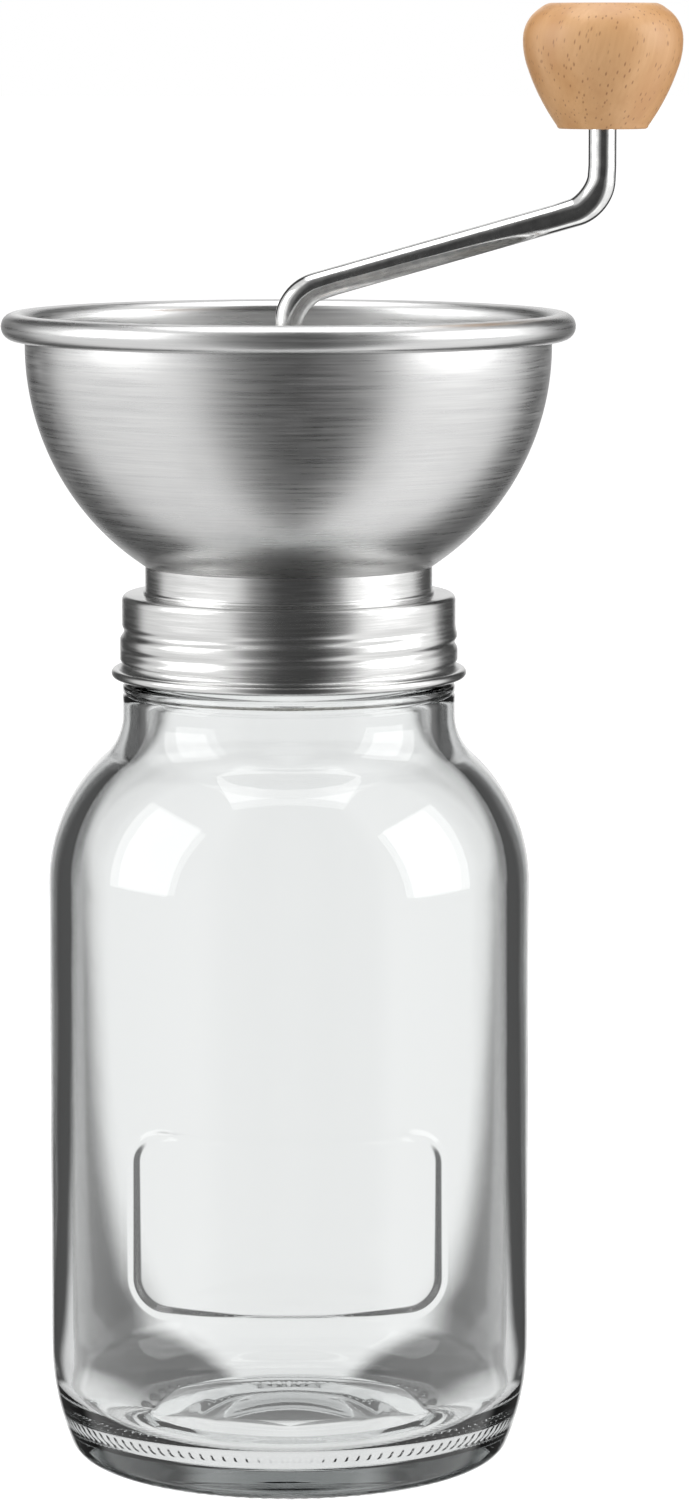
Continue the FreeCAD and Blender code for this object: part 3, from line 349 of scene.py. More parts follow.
# ---------------------------------------------------------------- finishes
class Shader(NodeWork):
    """A material with one Principled shader, and short calls to build what feeds it."""

    def __init__(self, name: str) -> None:
        """Makes the material and its shader."""
        self.material = bpy.data.materials.new(name)
        self.material.use_nodes = True
        self.tree = self.material.node_tree
        self.main = self.tree.nodes["Principled BSDF"]
        self.out = self.tree.nodes["Material Output"]

    def fix(self, **values: object) -> None:
        """Sets constants on the shader's own sockets, named with underscores for spaces."""
        for key, value in values.items():
            self.main.inputs[key.replace("_", " ")].default_value = value

    def group(self, tree: bpy.types.NodeTree, **values: float) -> bpy.types.Node:
        """Places a shared group with its own values."""
        node = self.add("Group", node_tree=tree)
        for key, value in values.items():
            node.inputs[key].default_value = value
        return node

    def mix(self, share: object, first: object, second: object) -> bpy.types.NodeSocket:
        """A mix of two colours by a share; each is a socket or a constant."""
        node = self.add("Mix", data_type="RGBA")
        for socket, value in ((node.inputs[0], share), (node.inputs[6], first), (node.inputs[7], second)):
            if isinstance(value, bpy.types.NodeSocket):
                self.join(value, socket)
            elif socket is node.inputs[0]:
                socket.default_value = value
            else:
                socket.default_value = (*value, 1.0)
        return node.outputs[2]

    def ranged(self, source: bpy.types.NodeSocket, low: float, high: float,
               start: float = 0.0, end: float = 1.0) -> bpy.types.NodeSocket:
        """Maps a value from start..end to low..high."""
        node = self.add("MapRange")
        node.inputs["From Min"].default_value = start
        node.inputs["From Max"].default_value = end
        node.inputs["To Min"].default_value = low
        node.inputs["To Max"].default_value = high
        self.join(source, node.inputs["Value"])
        return node.outputs[0]

    def bump(self, height: bpy.types.NodeSocket, depth_mm: float, strength: float = 1.0,
             under: bpy.types.NodeSocket | None = None) -> bpy.types.NodeSocket:
        """A bump of a real depth, on top of another if one is given."""
        node = self.add("Bump")
        node.inputs["Strength"].default_value = strength
        node.inputs["Distance"].default_value = depth_mm * MM
        self.join(height, node.inputs["Height"])
        if under is not None:
            self.join(under, node.inputs["Normal"])
        return node.outputs[0]

    def noise(self, scale: float, detail: float = 3.0,
              stretch: tuple[float, float, float] | None = None,
              tilt: tuple[float, float, float] = (0.0, 0.0, 0.0)) -> bpy.types.NodeSocket:
        """Noise on Object coordinates, stretched and tilted if asked."""
        node = self.add("TexNoise")
        node.inputs["Scale"].default_value = scale
        node.inputs["Detail"].default_value = detail
        self.join(self.coordinates(stretch, tilt), node.inputs["Vector"])
        return node.outputs[0]

    def coordinates(self, stretch: tuple[float, float, float] | None = None,
                    tilt: tuple[float, float, float] = (0.0, 0.0, 0.0)) -> bpy.types.NodeSocket:
        """Object coordinates, scaled and turned by a Mapping node if asked."""
        place_node = self.add("TexCoord")
        if stretch is None:
            return place_node.outputs["Object"]
        turned = self.add("Mapping", vector_type="POINT")
        turned.inputs["Rotation"].default_value = tilt
        self.join(place_node.outputs["Object"], turned.inputs["Vector"])
        scaled = self.add("Mapping", vector_type="POINT")
        scaled.inputs["Scale"].default_value = stretch
        self.join(turned.outputs[0], scaled.inputs["Vector"])
        return scaled.outputs[0]


@dataclass(frozen=True)
class SpunSteel:
    """Steel that was spun, brushed or turned about an axis."""

    name: str
    light: Colour
    dark: Colour
    roughness: tuple[float, float]
    density: float
    depth_mm: float
    anisotropy: float = 0.0
    centre: float = 0.0

    def build(self, lines: bpy.types.NodeTree, handling: bpy.types.NodeTree) -> bpy.types.Material:
        """Makes the material from the shared groups."""
        shader = Shader(self.name)
        turned = shader.group(lines, Density=self.density, Centre=self.centre)
        marks = shader.group(handling)
        shade = shader.mix(shader.ranged(turned.outputs["Lines"], 0.0, 1.0, 0.3, 0.7), self.dark, self.light)
        bands = shader.mix(shader.ranged(turned.outputs["Bands"], 0.0, 0.22, 0.4, 0.7), shade, self.dark)
        shader.join(bands, shader.main.inputs["Base Color"])
        rough = shader.ranged(turned.outputs["Lines"], *self.roughness, 0.3, 0.7)
        worn = shader.add("Math", operation="MULTIPLY_ADD")
        shader.join(marks.outputs["Smudge"], worn.inputs[0])
        worn.inputs[1].default_value = 0.05
        shader.join(rough, worn.inputs[2])
        shader.join(worn.outputs[0], shader.main.inputs["Roughness"])
        shader.join(shader.bump(turned.outputs["Lines"], self.depth_mm), shader.main.inputs["Normal"])
        shader.fix(Metallic=1.0, Anisotropic=self.anisotropy)
        if self.anisotropy:
            around = shader.add("Tangent", direction_type="RADIAL", axis="Z")
            shader.join(around.outputs[0], shader.main.inputs["Tangent"])
        return shader.material


@dataclass(frozen=True)
class DrawnSteel:
    """Drawn rod or wire, polished but faintly streaked along its length."""

    name: str = "drawn_steel"
    light: Colour = (0.78, 0.78, 0.77)
    dark: Colour = (0.60, 0.60, 0.60)
    roughness: tuple[float, float] = (0.10, 0.20)

    def build(self, handling: bpy.types.NodeTree) -> bpy.types.Material:
        """Makes the material."""
        shader = Shader(self.name)
        streak = shader.noise(1.0, 3.0, (500.0, 1500.0, 500.0), (0.0, math.radians(16), 0.0))
        marks = shader.group(handling, Scale=150.0)
        shade = shader.mix(shader.ranged(streak, 0.0, 1.0, 0.35, 0.65), self.dark, self.light)
        shader.join(shade, shader.main.inputs["Base Color"])
        rough = shader.ranged(marks.outputs["Smudge"], *self.roughness)
        shader.join(rough, shader.main.inputs["Roughness"])
        shader.join(shader.bump(streak, 0.002), shader.main.inputs["Normal"])
        shader.fix(Metallic=1.0)
        return shader.material


@dataclass(frozen=True)
class Moulded:
    """A moulded, fired or cast surface: a colour with a fine grain and soft mottling."""

    name: str
    colour: Colour
    shade: Colour
    roughness: tuple[float, float]
    grain_per_m: float
    grain_mm: float
    metallic: float = 0.0

    def build(self, handling: bpy.types.NodeTree) -> bpy.types.Material:
        """Makes the material."""
        shader = Shader(self.name)
        marks = shader.group(handling, Scale=120.0)
        mottle = shader.noise(180.0, 4.0)
        colour = shader.mix(shader.ranged(mottle, 0.0, 1.0, 0.35, 0.7), self.colour, self.shade)
        shader.join(colour, shader.main.inputs["Base Color"])
        shader.join(shader.ranged(marks.outputs["Smudge"], *self.roughness), shader.main.inputs["Roughness"])
        grain = shader.noise(self.grain_per_m, 2.0)
        shader.join(shader.bump(grain, self.grain_mm), shader.main.inputs["Normal"])
        shader.fix(Metallic=self.metallic)
        return shader.material


@dataclass(frozen=True)
class ClearGlass:
    """Thick pressed glass: clear, faintly wavy, grey where the light runs a long way in it; the grey
    absorption is far stronger than in real glass, so it is partly the glass's faint tint and partly painted
    shade for the dark edge bands and the greyed body.
    """

    name: str = "clear_glass"
    tint: Colour = (0.985, 0.992, 0.990)
    # Painted shade: this strong grey absorption darkens thick glass beyond its own faint tint.
    painted_shade_colour: Colour = (0.50, 0.52, 0.52)
    painted_shade_density: float = 30.0
    wave_mm: float = 0.10

    def build(self) -> bpy.types.Material:
        """Makes the material, which lets lamps through so that its shadow stays light."""
        shader = Shader(self.name)
        wave = shader.noise(28.0, 2.0, (1.0, 1.0, 0.6))
        ripple = shader.noise(160.0, 2.0)
        waved = shader.bump(wave, self.wave_mm)
        shader.join(shader.bump(ripple, self.wave_mm * 0.06, 1.0, waved), shader.main.inputs["Normal"])
        shader.fix(Base_Color=(*self.tint, 1.0), Roughness=0.0, IOR=1.5, Transmission_Weight=1.0)
        clear = shader.add("BsdfTransparent")
        clear.inputs["Color"].default_value = (0.93, 0.94, 0.94, 1.0)
        rays = shader.add("LightPath")
        blend = shader.add("MixShader")
        shader.join(rays.outputs["Is Shadow Ray"], blend.inputs[0])
        shader.join(shader.main.outputs[0], blend.inputs[1])
        shader.join(clear.outputs[0], blend.inputs[2])
        shader.join(blend.outputs[0], shader.out.inputs["Surface"])
        # Painted shade: a grey absorption that darkens the thick edges and the body, partly the glass's own
        # tint and mostly shade from the surroundings.
        depth = shader.add("VolumeAbsorption")
        depth.inputs["Color"].default_value = (*self.painted_shade_colour, 1.0)
        depth.inputs["Density"].default_value = self.painted_shade_density
        shader.join(depth.outputs[0], shader.out.inputs["Volume"])
        return shader.material


@dataclass(frozen=True)
class TurnedBeech:
    """Turned and lacquered beech: pale tan with short dark rays that lean with the grain."""

    name: str = "turned_beech"
    pale: Colour = (0.70, 0.405, 0.19)
    warm: Colour = (0.56, 0.285, 0.11)
    ray: Colour = (0.33, 0.14, 0.048)
    lean: float = math.radians(-13)

    def build(self) -> bpy.types.Material:
        """Makes the material: broad grain, fine fibres, and rays as slim leaning cells."""
        shader = Shader(self.name)
        tilt = (0.0, self.lean, 0.0)
        broad = shader.noise(1.0, 3.0, (110.0, 150.0, 18.0), tilt)
        fibre = shader.noise(1.0, 4.0, (1500.0, 1500.0, 90.0), tilt)
        base = shader.mix(shader.ranged(broad, 0.0, 1.0, 0.35, 0.68), self.pale, self.warm)
        base = shader.mix(shader.ranged(fibre, 0.0, 0.35, 0.42, 0.75), base, self.warm)
        cells = shader.add("TexVoronoi", feature="F1")
        cells.inputs["Scale"].default_value = 1.0
        shader.join(shader.coordinates((1050.0, 1050.0, 330.0), tilt), cells.inputs["Vector"])
        slim = shader.ranged(cells.outputs["Distance"], 0.85, 0.0, 0.10, 0.26)
        deep = shader.mix(slim, base, self.ray)
        shader.join(deep, shader.main.inputs["Base Color"])
        shader.join(shader.ranged(fibre, 0.38, 0.55), shader.main.inputs["Roughness"])
        pores = shader.bump(slim, -0.04, 0.8)
        shader.join(shader.bump(fibre, 0.006, 1.0, pores), shader.main.inputs["Normal"])
        shader.fix(Coat_Weight=0.35, Coat_Roughness=0.28, Specular_IOR_Level=0.45)
        return shader.material


class Finishes:
    """Every material of the grinder, built once."""

    def __init__(self) -> None:
        """Builds the shared groups and then each finish."""
        lines = make_turned_lines()
        handling = make_handling()
        grey = (0.70, 0.70, 0.695)
        self.of: dict[Slot, bpy.types.Material] = {
            Slot.BRUSHED: SpunSteel("brushed_steel", (0.70, 0.70, 0.695), (0.56, 0.56, 0.56), (0.24, 0.34),
                                    1500.0, 0.003, 0.55).build(lines, handling),
            Slot.SATIN: SpunSteel("satin_steel", grey, (0.58, 0.58, 0.575), (0.17, 0.25),
                                  1900.0, 0.002, 0.4).build(lines, handling),
            Slot.TURNED: SpunSteel("turned_steel", grey, (0.48, 0.48, 0.48), (0.20, 0.30),
                                   2600.0, 0.003).build(lines, handling),
            Slot.SCREW: SpunSteel("screw_steel", (0.55, 0.55, 0.55), (0.36, 0.36, 0.37), (0.24, 0.36),
                                  3000.0, 0.003, 0.0, 66.0 * MM).build(lines, handling),
            Slot.POLISHED: DrawnSteel().build(handling),
            Slot.SPRING: DrawnSteel("spring_steel", (0.50, 0.50, 0.52), (0.34, 0.34, 0.36), (0.16, 0.28)
                                    ).build(handling),
            Slot.NYLON: Moulded("white_nylon", (0.80, 0.79, 0.75), (0.72, 0.71, 0.67), (0.42, 0.55),
                                2400.0, 0.012).build(handling),
            Slot.CERAMIC: Moulded("fired_ceramic", (0.84, 0.81, 0.74), (0.76, 0.72, 0.64), (0.48, 0.62),
                                  5200.0, 0.010).build(handling),
            Slot.SILICONE: Moulded("silicone", (0.74, 0.75, 0.73), (0.66, 0.67, 0.65), (0.50, 0.62),
                                   1800.0, 0.010).build(handling),
            Slot.BRONZE: Moulded("turned_bronze", (0.66, 0.43, 0.18), (0.48, 0.29, 0.11), (0.28, 0.42),
                                 3600.0, 0.008, 1.0).build(handling),
            Slot.GLASS: ClearGlass().build(),
            Slot.BEECH: TurnedBeech().build(),
        }


# ---------------------------------------------------------------- jar
@dataclass
class Jar:
    """The glass jar, with its knurled foot, label frame and screw finish."""

    radius: float = 51.25
    wall: float = 4.5
    foot: float = 42.5
    foot_width: float = 5.6
    heel: float = 24.0
    heel_round: float = 5.0
    shoulder: float = 124.0
    shoulder_round: float = 37.0
    neck: float = 35.3
    neck_round: float = 12.0
    neck_top: float = 166.6
    finish: float = 33.2
    mouth: float = 29.9
    mouth_round: float = 16.0
    height: float = 184.0
    floor: float = 6.5
    knurls: int = 97
    knurl_depth: float = 0.75
    label_middle: float = 58.8
    label_half: Point = (31.9, 18.7)
    label_corner: float = 6.5
    label_rib: float = 1.4
    label_proud: float = 0.36
    thread: Helix = field(default_factory=lambda: Helix(math.pi, 175.3, 4.3, 1.42))
    thread_height: float = 1.0
    thread_reach: float = 1.25

    def shoulder_points(self, profile: Profile, wall: float, bend: float, neck: float, bend_in: float,
                        down: bool) -> None:
        """Adds the shoulder: two arcs that meet in line, going up to the neck or down from it."""
        across = neck + bend_in - self.radius + wall + bend
        reach = bend + bend_in
        up = math.sqrt(reach**2 - across**2)
        joint = (self.radius - wall - bend + bend * across / reach, self.shoulder + bend * up / reach)
        if down:
            profile.to(neck, self.shoulder + up, 4)
            profile.arc(*joint, bend_in, 12).arc(self.radius - wall, self.shoulder, -bend, 18)
        else:
            profile.arc(*joint, bend, 20).arc(neck, self.shoulder + up, -bend_in, 12)

    def outline(self) -> Profile:
        """The closed section of the glass, from under its middle, up outside and down inside."""
        width = self.radius - self.foot
        drop = self.heel - self.heel_round
        big = (width**2 + drop**2 - self.heel_round**2) / (2 * (width - self.heel_round))
        reach = big - self.heel_round
        joint = (
            self.foot + self.heel_round * (big - width) / reach,
            self.heel_round - self.heel_round * drop / reach,
        )
        out = Profile().to(0, 3.6).to(18, 3.3, 4).arc(30.5, 2.2, -60, 5)
        out.arc(self.foot - self.foot_width, 0.35, -10, 5).arc(self.foot - self.foot_width + 1.6, 0.0, 2.5, 3)
        out.to(self.foot, 0.0, 5)
        out.arc(*joint, self.heel_round, 9).arc(self.radius, self.heel, big, 16)
        low = self.label_middle - self.label_half[1] - 4
        high = self.label_middle + self.label_half[1] + 4
        out.to(self.radius, low, 4).to(self.radius, high, 30).to(self.radius, self.shoulder, 5)
        self.shoulder_points(out, 0, self.shoulder_round, self.neck, self.neck_round, down=False)
        out.to(self.neck, self.neck_top - 2.4, 3).arc(self.neck, self.neck_top - 1.5, -0.5, 5)
        out.to(self.neck, self.neck_top - 0.5).arc(self.neck - 0.5, self.neck_top, 0.5, 4)
        out.arc(self.finish, self.neck_top + 0.7, -1.6, 4)
        out.to(self.finish, self.height - 0.9, 34).arc(self.finish - 0.9, self.height, 0.9, 5)
        out.to(self.mouth + 0.9, self.height).arc(self.mouth, self.height - 0.9, 0.9, 5)
        inside_bend = self.shoulder_round - self.wall
        self.shoulder_points(out, self.wall, inside_bend, self.mouth, self.mouth_round, down=True)
        inner = self.radius - self.wall
        out.to(inner, self.floor + 12, 8).arc(inner - 12, self.floor, -12, 14)
        out.arc(30.5, self.floor + 2.2, -9, 6).to(29.6, self.floor + 2.35)
        out.to(20.5, self.floor + 2.2, 4).arc(15.0, self.floor + 1.5, -14, 5)
        out.arc(0, self.floor + 0.8, -140, 6)
        return out

    def rib(self, across: float, height: float, reach: float) -> float:
        """How much the label frame's rib raises a point of the front.

        Args:
            across: How far the point is from the middle, sideways.
            height: The point's height.
            reach: Half the rib's width.

        Returns:
            1 on the rib's crest, falling to 0 at its sides.
        """
        corner = self.label_corner
        sideways = max(abs(across) - self.label_half[0] + corner, 0.0)
        upward = max(abs(height - self.label_middle) - self.label_half[1] + corner, 0.0)
        inside = max(abs(across) - self.label_half[0], abs(height - self.label_middle) - self.label_half[1])
        distance = math.hypot(sideways, upward) - corner if sideways and upward else inside
        return hump(distance, reach)

    def in_label(self, point: Vector) -> bool:
        """Whether a point of the outer wall lies where the label frame is."""
        near_height = abs(point.z - self.label_middle) < self.label_half[1] + 2.6
        near_side = abs(point.x) < self.label_half[0] + 2.6
        outside = math.hypot(point.x, point.y) > self.radius - 0.5 * self.wall
        return point.y < 0 and near_height and near_side and outside

    def on_rib(self, point: Vector) -> bool:
        """Whether a point of the outer wall lies on the label frame's rib or close beside it."""
        return self.in_label(point) and self.rib(point.x, point.z, 2.0 * self.label_rib) > 0

    def in_foot(self, point: Vector) -> bool:
        """Whether a point lies on the knurled foot."""
        return point.z < 1.2 and math.hypot(point.x, point.y) > self.foot - self.foot_width - 0.5

    def shaped(self, angle: float, radius: float, height: float) -> Point:
        """Raises the label frame and the thread, and cuts the foot's knurls."""
        outside = radius > self.radius - 0.5 * self.wall
        if outside and math.sin(angle) < 0 and self.heel < height < self.shoulder:
            rise = self.rib(radius * math.cos(angle), height, self.label_rib)
            return self.radius + self.label_proud * rise, height
        if height > self.neck_top + 1 and radius > self.finish - 0.5:
            ridge = self.thread.pressed(angle, height, self.thread_reach)
            return radius + self.thread_height * min(1.25 * ridge, 1.0), height
        if height < 1.6 and radius > self.foot - self.foot_width:
            middle = self.foot - 0.35 * self.foot_width
            wave = 0.5 - 0.5 * math.cos(angle * self.knurls)
            gap = self.knurl_depth * wave * hump(radius - middle, 0.9 * self.foot_width) * (1 - height / 1.6)
            return radius, height + gap
        return radius, height

    def build(self, finishes: Finishes) -> None:
        """Spins the glass, refines where it is detailed, and shapes it."""
        shell = spun(self.outline(), 3 * self.knurls, closed=False)
        refine(shell, self.in_label)
        refine(shell, self.on_rib)
        refine(shell, self.in_foot)
        reshape(shell, self.shaped)
        piece = shown("glass_jar" + SUFFIX, shell)
        place(piece, "glass_jar", "jar", finishes.of[Slot.GLASS])


# ---------------------------------------------------------------- collar, ring and bowl
@dataclass
class ScrewCollar:
    """The pressed collar: disc, skirt with a rolled thread, and a curled edge."""

    radius: float = 35.4
    flare: float = 0.45
    sheet: float = 0.6
    corner: float = 1.3
    throat: float = 23.5
    curl: float = 1.0
    curl_out: float = 1.3
    thread: Helix = field(default_factory=lambda: Helix(math.pi, 173.4, 4.3, 1.42))
    thread_depth: float = 0.62
    thread_reach: float = 1.55

    def outline(self, bottom: float, top: float) -> Profile:
        """The section of the sheet, from the disc's hole out over the skirt and back inside."""
        middle = self.radius + self.curl_out
        centre = bottom + self.curl
        inner = self.radius - self.sheet
        under = top - self.sheet
        out = Profile().to(self.throat, under).to(inner - 0.7, under, 4).arc(inner, under - 0.7, -0.7, 4)
        out.to(inner, centre + 2.2, 34).arc(middle - 0.95 * self.curl, centre + 0.35, 2.2, 4)
        out.arc(middle, bottom, self.curl, 6).arc(middle + self.curl, centre, self.curl, 6)
        out.arc(middle, bottom + 2 * self.curl, self.curl, 6)
        out.arc(middle - 0.45, centre + 0.92 * self.curl, 1.0, 3)
        out.arc(self.radius, centre + 2.8, -1.9, 5)
        out.to(self.radius, top - self.corner, 34).arc(self.radius - self.corner, top, self.corner, 7)
        return out.to(self.throat, top, 6)

    def build(self, finishes: Finishes) -> None:
        """Spins the sheet and rolls the thread into both of its faces."""
        low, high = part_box("screw_collar")
        bottom, top = low.z / MM, high.z / MM
        shell = spun(self.outline(bottom, top), 256)
        skirt_bottom = bottom + 2 * self.curl + 0.9

        def rolled(angle: float, radius: float, height: float) -> Point:
            """Moves the skirt's two faces together."""
            if radius < self.radius - 2 * self.sheet or not skirt_bottom < height < top - 1.5 * self.corner:
                return radius, height
            wide = self.flare * smooth(top - 6.5, top - 9.5, height)
            wide *= smooth(skirt_bottom, skirt_bottom + 1, height)
            deep = self.thread_depth * self.thread.pressed(angle, height, self.thread_reach)
            return radius + wide - deep, height

        reshape(shell, rolled)
        piece = shown("screw_collar" + SUFFIX, shell, 50)
        place(piece, "screw_collar", "head", finishes.of[Slot.SATIN])


@dataclass
class NeckRing:
    """The short tube between the collar and the bowl, with a pressed foot."""

    wall: float = 0.8
    foot: float = 0.35

    def build(self, finishes: Finishes) -> None:
        """Spins the ring between the collar's top and the bowl's floor."""
        low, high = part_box("neck_ring")
        radius, bottom, top = high.x / MM, low.z / MM, high.z / MM
        out = Profile().to(radius - self.wall, bottom).to(radius + self.foot, bottom, 2)
        out.arc(radius + 0.1, bottom + 0.75, 0.6, 4).arc(radius, bottom + 1.1, -0.5, 3)
        out.to(radius, top, 8).to(radius - self.wall, top)
        piece = shown("neck_ring" + SUFFIX, spun(out, 256), 50)
        place(piece, "neck_ring", "head", finishes.of[Slot.SATIN])


@dataclass
class HopperBowl:
    """The open bowl of one sheet, spun to a near-round wall with a rolled rim."""

    radius: float = 55.6
    sheet: float = 0.8
    roll: float = 2.9
    floor_radius: float = 30.45
    throat: float = 23.5
    lift: float = 4.2

    def build(self, finishes: Finishes) -> None:
        """Spins the sheet from the floor's hole up the outside, round the rim and down the inside."""
        low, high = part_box("hopper_bowl")
        floor = low.z / MM
        rim = high.z / MM - self.roll
        centre = rim - self.lift
        inner = self.radius - self.sheet
        middle = inner + self.roll
        inside_roll = self.roll - self.sheet
        end = math.radians(235)
        out = Profile().to(self.throat, floor).to(self.floor_radius, floor, 3)
        out.arc(self.radius, centre, self.radius, 48).to(self.radius, rim, 3)
        for reach, turns in ((inside_roll, range(1, 25)), (self.roll, range(24, -1, -1))):
            for turn in turns:
                angle = math.pi - (math.pi + end - math.pi + math.radians(70)) * turn / 24
                out.to(middle + reach * math.cos(angle), rim + reach * math.sin(angle))
        out.to(inner, centre, 3)
        floor_top = floor + self.sheet
        edge = math.sqrt(inner**2 - (centre - floor_top - 0.9) ** 2)
        out.arc(edge, floor_top + 0.9, -inner, 48).arc(edge - 2.2, floor_top, -2.5, 5)
        out.to(self.throat, floor_top, 3)
        piece = shown("hopper_bowl" + SUFFIX, spun(out, 288), 60)
        place(piece, "hopper_bowl", "head", finishes.of[Slot.BRUSHED])


# ---------------------------------------------------------------- crank and knob
@dataclass
class CrankArm:
    """The bent rod: a leg in the bowl, a rising arm, and the stem under the knob."""

    radius: float = 2.95
    bend: float = 8.0
    reach: float = 66.0
    rise: float = 18.6
    leg: float = 26.8
    neck: float = 2.4
    knob_above: float = 16.0
    seat: float = 4.3
    pinch: float = 1.5
    sides: int = 40

    def build(self, finishes: Finishes) -> None:
        """Grows the rod ring by ring along the leg, the arm and the stem."""
        low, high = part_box("crank_arm")
        start = low.z / MM
        elbow = start + self.leg
        slope = math.atan2(self.rise, self.reach)
        turn = math.pi / 2 - slope
        tangent = self.bend * math.tan(turn / 2)
        rod = bmesh.new()
        ring = bmesh.ops.create_circle(rod, segments=self.sides, radius=self.radius * MM,
                                       matrix=Matrix.Translation((0, 0, start * MM)))["verts"]
        edges = list({edge for vert in ring for edge in vert.link_edges})
        first = list(edges)
        edges = self.run(rod, edges, Vector((0, 0, elbow - tangent - start)), 6)
        edges = self.turned(rod, edges, Vector((self.bend, 0, elbow - tangent)), turn)
        length = math.hypot(self.reach, self.rise) - 2 * tangent
        edges = self.run(rod, edges, Vector((math.cos(slope), 0, math.sin(slope))) * length, 14)
        stem_foot = elbow + self.rise
        edges = self.turned(rod, edges, Vector((self.reach - self.bend, 0, stem_foot + tangent)), -turn)
        shoulder = stem_foot + self.knob_above + self.seat
        edges = self.run(rod, edges, Vector((0, 0, shoulder - stem_foot - tangent)), 6)
        edges = self.run(rod, edges, Vector((0, 0, 0)), 1)
        ends = {vert for edge in edges for vert in edge.verts}
        share = self.neck / self.radius
        bmesh.ops.scale(rod, vec=(share, share, 1), verts=list(ends),
                        space=Matrix.Translation((-self.reach * MM, 0, 0)))
        edges = self.run(rod, edges, Vector((0, 0, high.z / MM - shoulder)), 2)
        bmesh.ops.contextual_create(rod, geom=first)
        bmesh.ops.contextual_create(rod, geom=edges)
        bmesh.ops.recalc_face_normals(rod, faces=rod.faces)
        for corner in (Vector((0, 0, elbow)), Vector((self.reach, 0, stem_foot))):
            self.squeeze(rod, corner, Vector((1, 0, -1)) if corner.x == 0 else Vector((-1, 0, 1)))
        piece = shown("crank_arm" + SUFFIX, rod, 50)
        place(piece, "crank_arm", "crank", finishes.of[Slot.POLISHED])

    @staticmethod
    def run(rod: bmesh.types.BMesh, edges: list[bmesh.types.BMEdge], way: Vector,
            steps: int) -> list[bmesh.types.BMEdge]:
        """Extrudes the open ring along a straight way, and returns the new open ring."""
        for _ in range(steps):
            grown = bmesh.ops.extrude_edge_only(rod, edges=edges)["geom"]
            verts = [item for item in grown if isinstance(item, bmesh.types.BMVert)]
            edges = [item for item in grown if isinstance(item, bmesh.types.BMEdge)]
            bmesh.ops.translate(rod, vec=way * MM / steps, verts=verts)
        return edges

    @staticmethod
    def turned(rod: bmesh.types.BMesh, edges: list[bmesh.types.BMEdge], centre: Vector,
               angle: float) -> list[bmesh.types.BMEdge]:
        """Spins the open ring round a bend's centre, and returns the new open ring."""
        verts = list({vert for edge in edges for vert in edge.verts})
        last = bmesh.ops.spin(rod, geom=verts + edges, cent=centre * MM, axis=(0, 1, 0), dvec=(0, 0, 0),
                              angle=angle, steps=16)["geom_last"]
        return [item for item in last if isinstance(item, bmesh.types.BMEdge)]

    def squeeze(self, rod: bmesh.types.BMesh, corner: Vector, inward: Vector) -> None:
        """Pushes the metal on the inside of a bend towards the bend's centre, as bending a rod does."""
        way = inward.normalized()
        for vert in rod.verts:
            offset = vert.co / MM - corner
            near = hump(offset.length, 9.0)
            side = max(offset.dot(way) / self.radius, 0.0)
            vert.co += way * (self.pinch * near * min(side, 1.0) ** 2 * MM)


@dataclass
class Knob:
    """The turned knob: a straight-sided cup shape under a round shoulder and a flat crown."""

    foot: float = 9.4
    waist: Point = (15.75, 12.6)
    widest: Point = (16.8, 18.8)
    crown: Point = (13.2, 25.15)
    flat: float = 11.2
    bore: float = 4.3
    bore_depth: float = 9.0
    bush: float = 3.56
    entry: float = 3.15
    seat: float = 4.36

    def build(self, finishes: Finishes) -> None:
        """Spins the wood and moves it to the stem."""
        low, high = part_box("crank_knob")
        base, top = low.z / MM, high.z / MM
        place_x = (low.x + high.x) / 2
        out = Profile().to(self.entry + 0.3, base).to(self.foot - 0.7, base, 3)
        out.arc(self.foot + 0.25, base + 0.7, 0.8, 4)
        out.arc(self.waist[0], base + self.waist[1], 46, 14)
        out.arc(self.widest[0], base + self.widest[1], 17, 10)
        out.arc(self.crown[0], base + self.crown[1], 7.6, 12).arc(self.flat, top, 4.5, 6)
        out.to(self.bore + 0.6, top, 4).arc(self.bore, top - 0.6, 0.6, 4)
        out.to(self.bore, top - self.bore_depth, 6)
        out.to(self.bush, top - self.bore_depth).to(self.bush, base + self.seat)
        out.to(self.entry, base + self.seat).to(self.entry, base + 0.3)
        shell = spun(out, 128)
        bmesh.ops.translate(shell, vec=(place_x, 0, 0), verts=shell.verts)
        piece = shown("crank_knob" + SUFFIX, shell, 50)
        place(piece, "crank_knob", "knob", finishes.of[Slot.BEECH])


# ---------------------------------------------------------------- small mechanical pieces
@dataclass
class SoftenedPiece:
    """A machined or moulded piece whose shape is the frame's, with its edges broken."""

    node: str
    body: str
    slot: Slot
    edge_mm: float = 0.15

    def build(self, finishes: Finishes) -> None:
        """Copies and merges the node's mesh, joins its flat faces and bevels its edges."""
        shell = bmesh.new()
        shell.from_mesh(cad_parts[self.node].data)
        bmesh.ops.remove_doubles(shell, verts=shell.verts, dist=MM * 1e-3)
        bmesh.ops.dissolve_limit(shell, angle_limit=math.radians(2), verts=shell.verts, edges=shell.edges)
        piece = shown(self.node + SUFFIX, shell, 35)
        bevel = piece.modifiers.new("broken_edges", "BEVEL")
        bevel.width = self.edge_mm * MM
        bevel.segments = 2
        bevel.limit_method = "ANGLE"
        bevel.angle_limit = math.radians(35)
        bevel.harden_normals = True
        place(piece, self.node, self.body, finishes.of[self.slot])


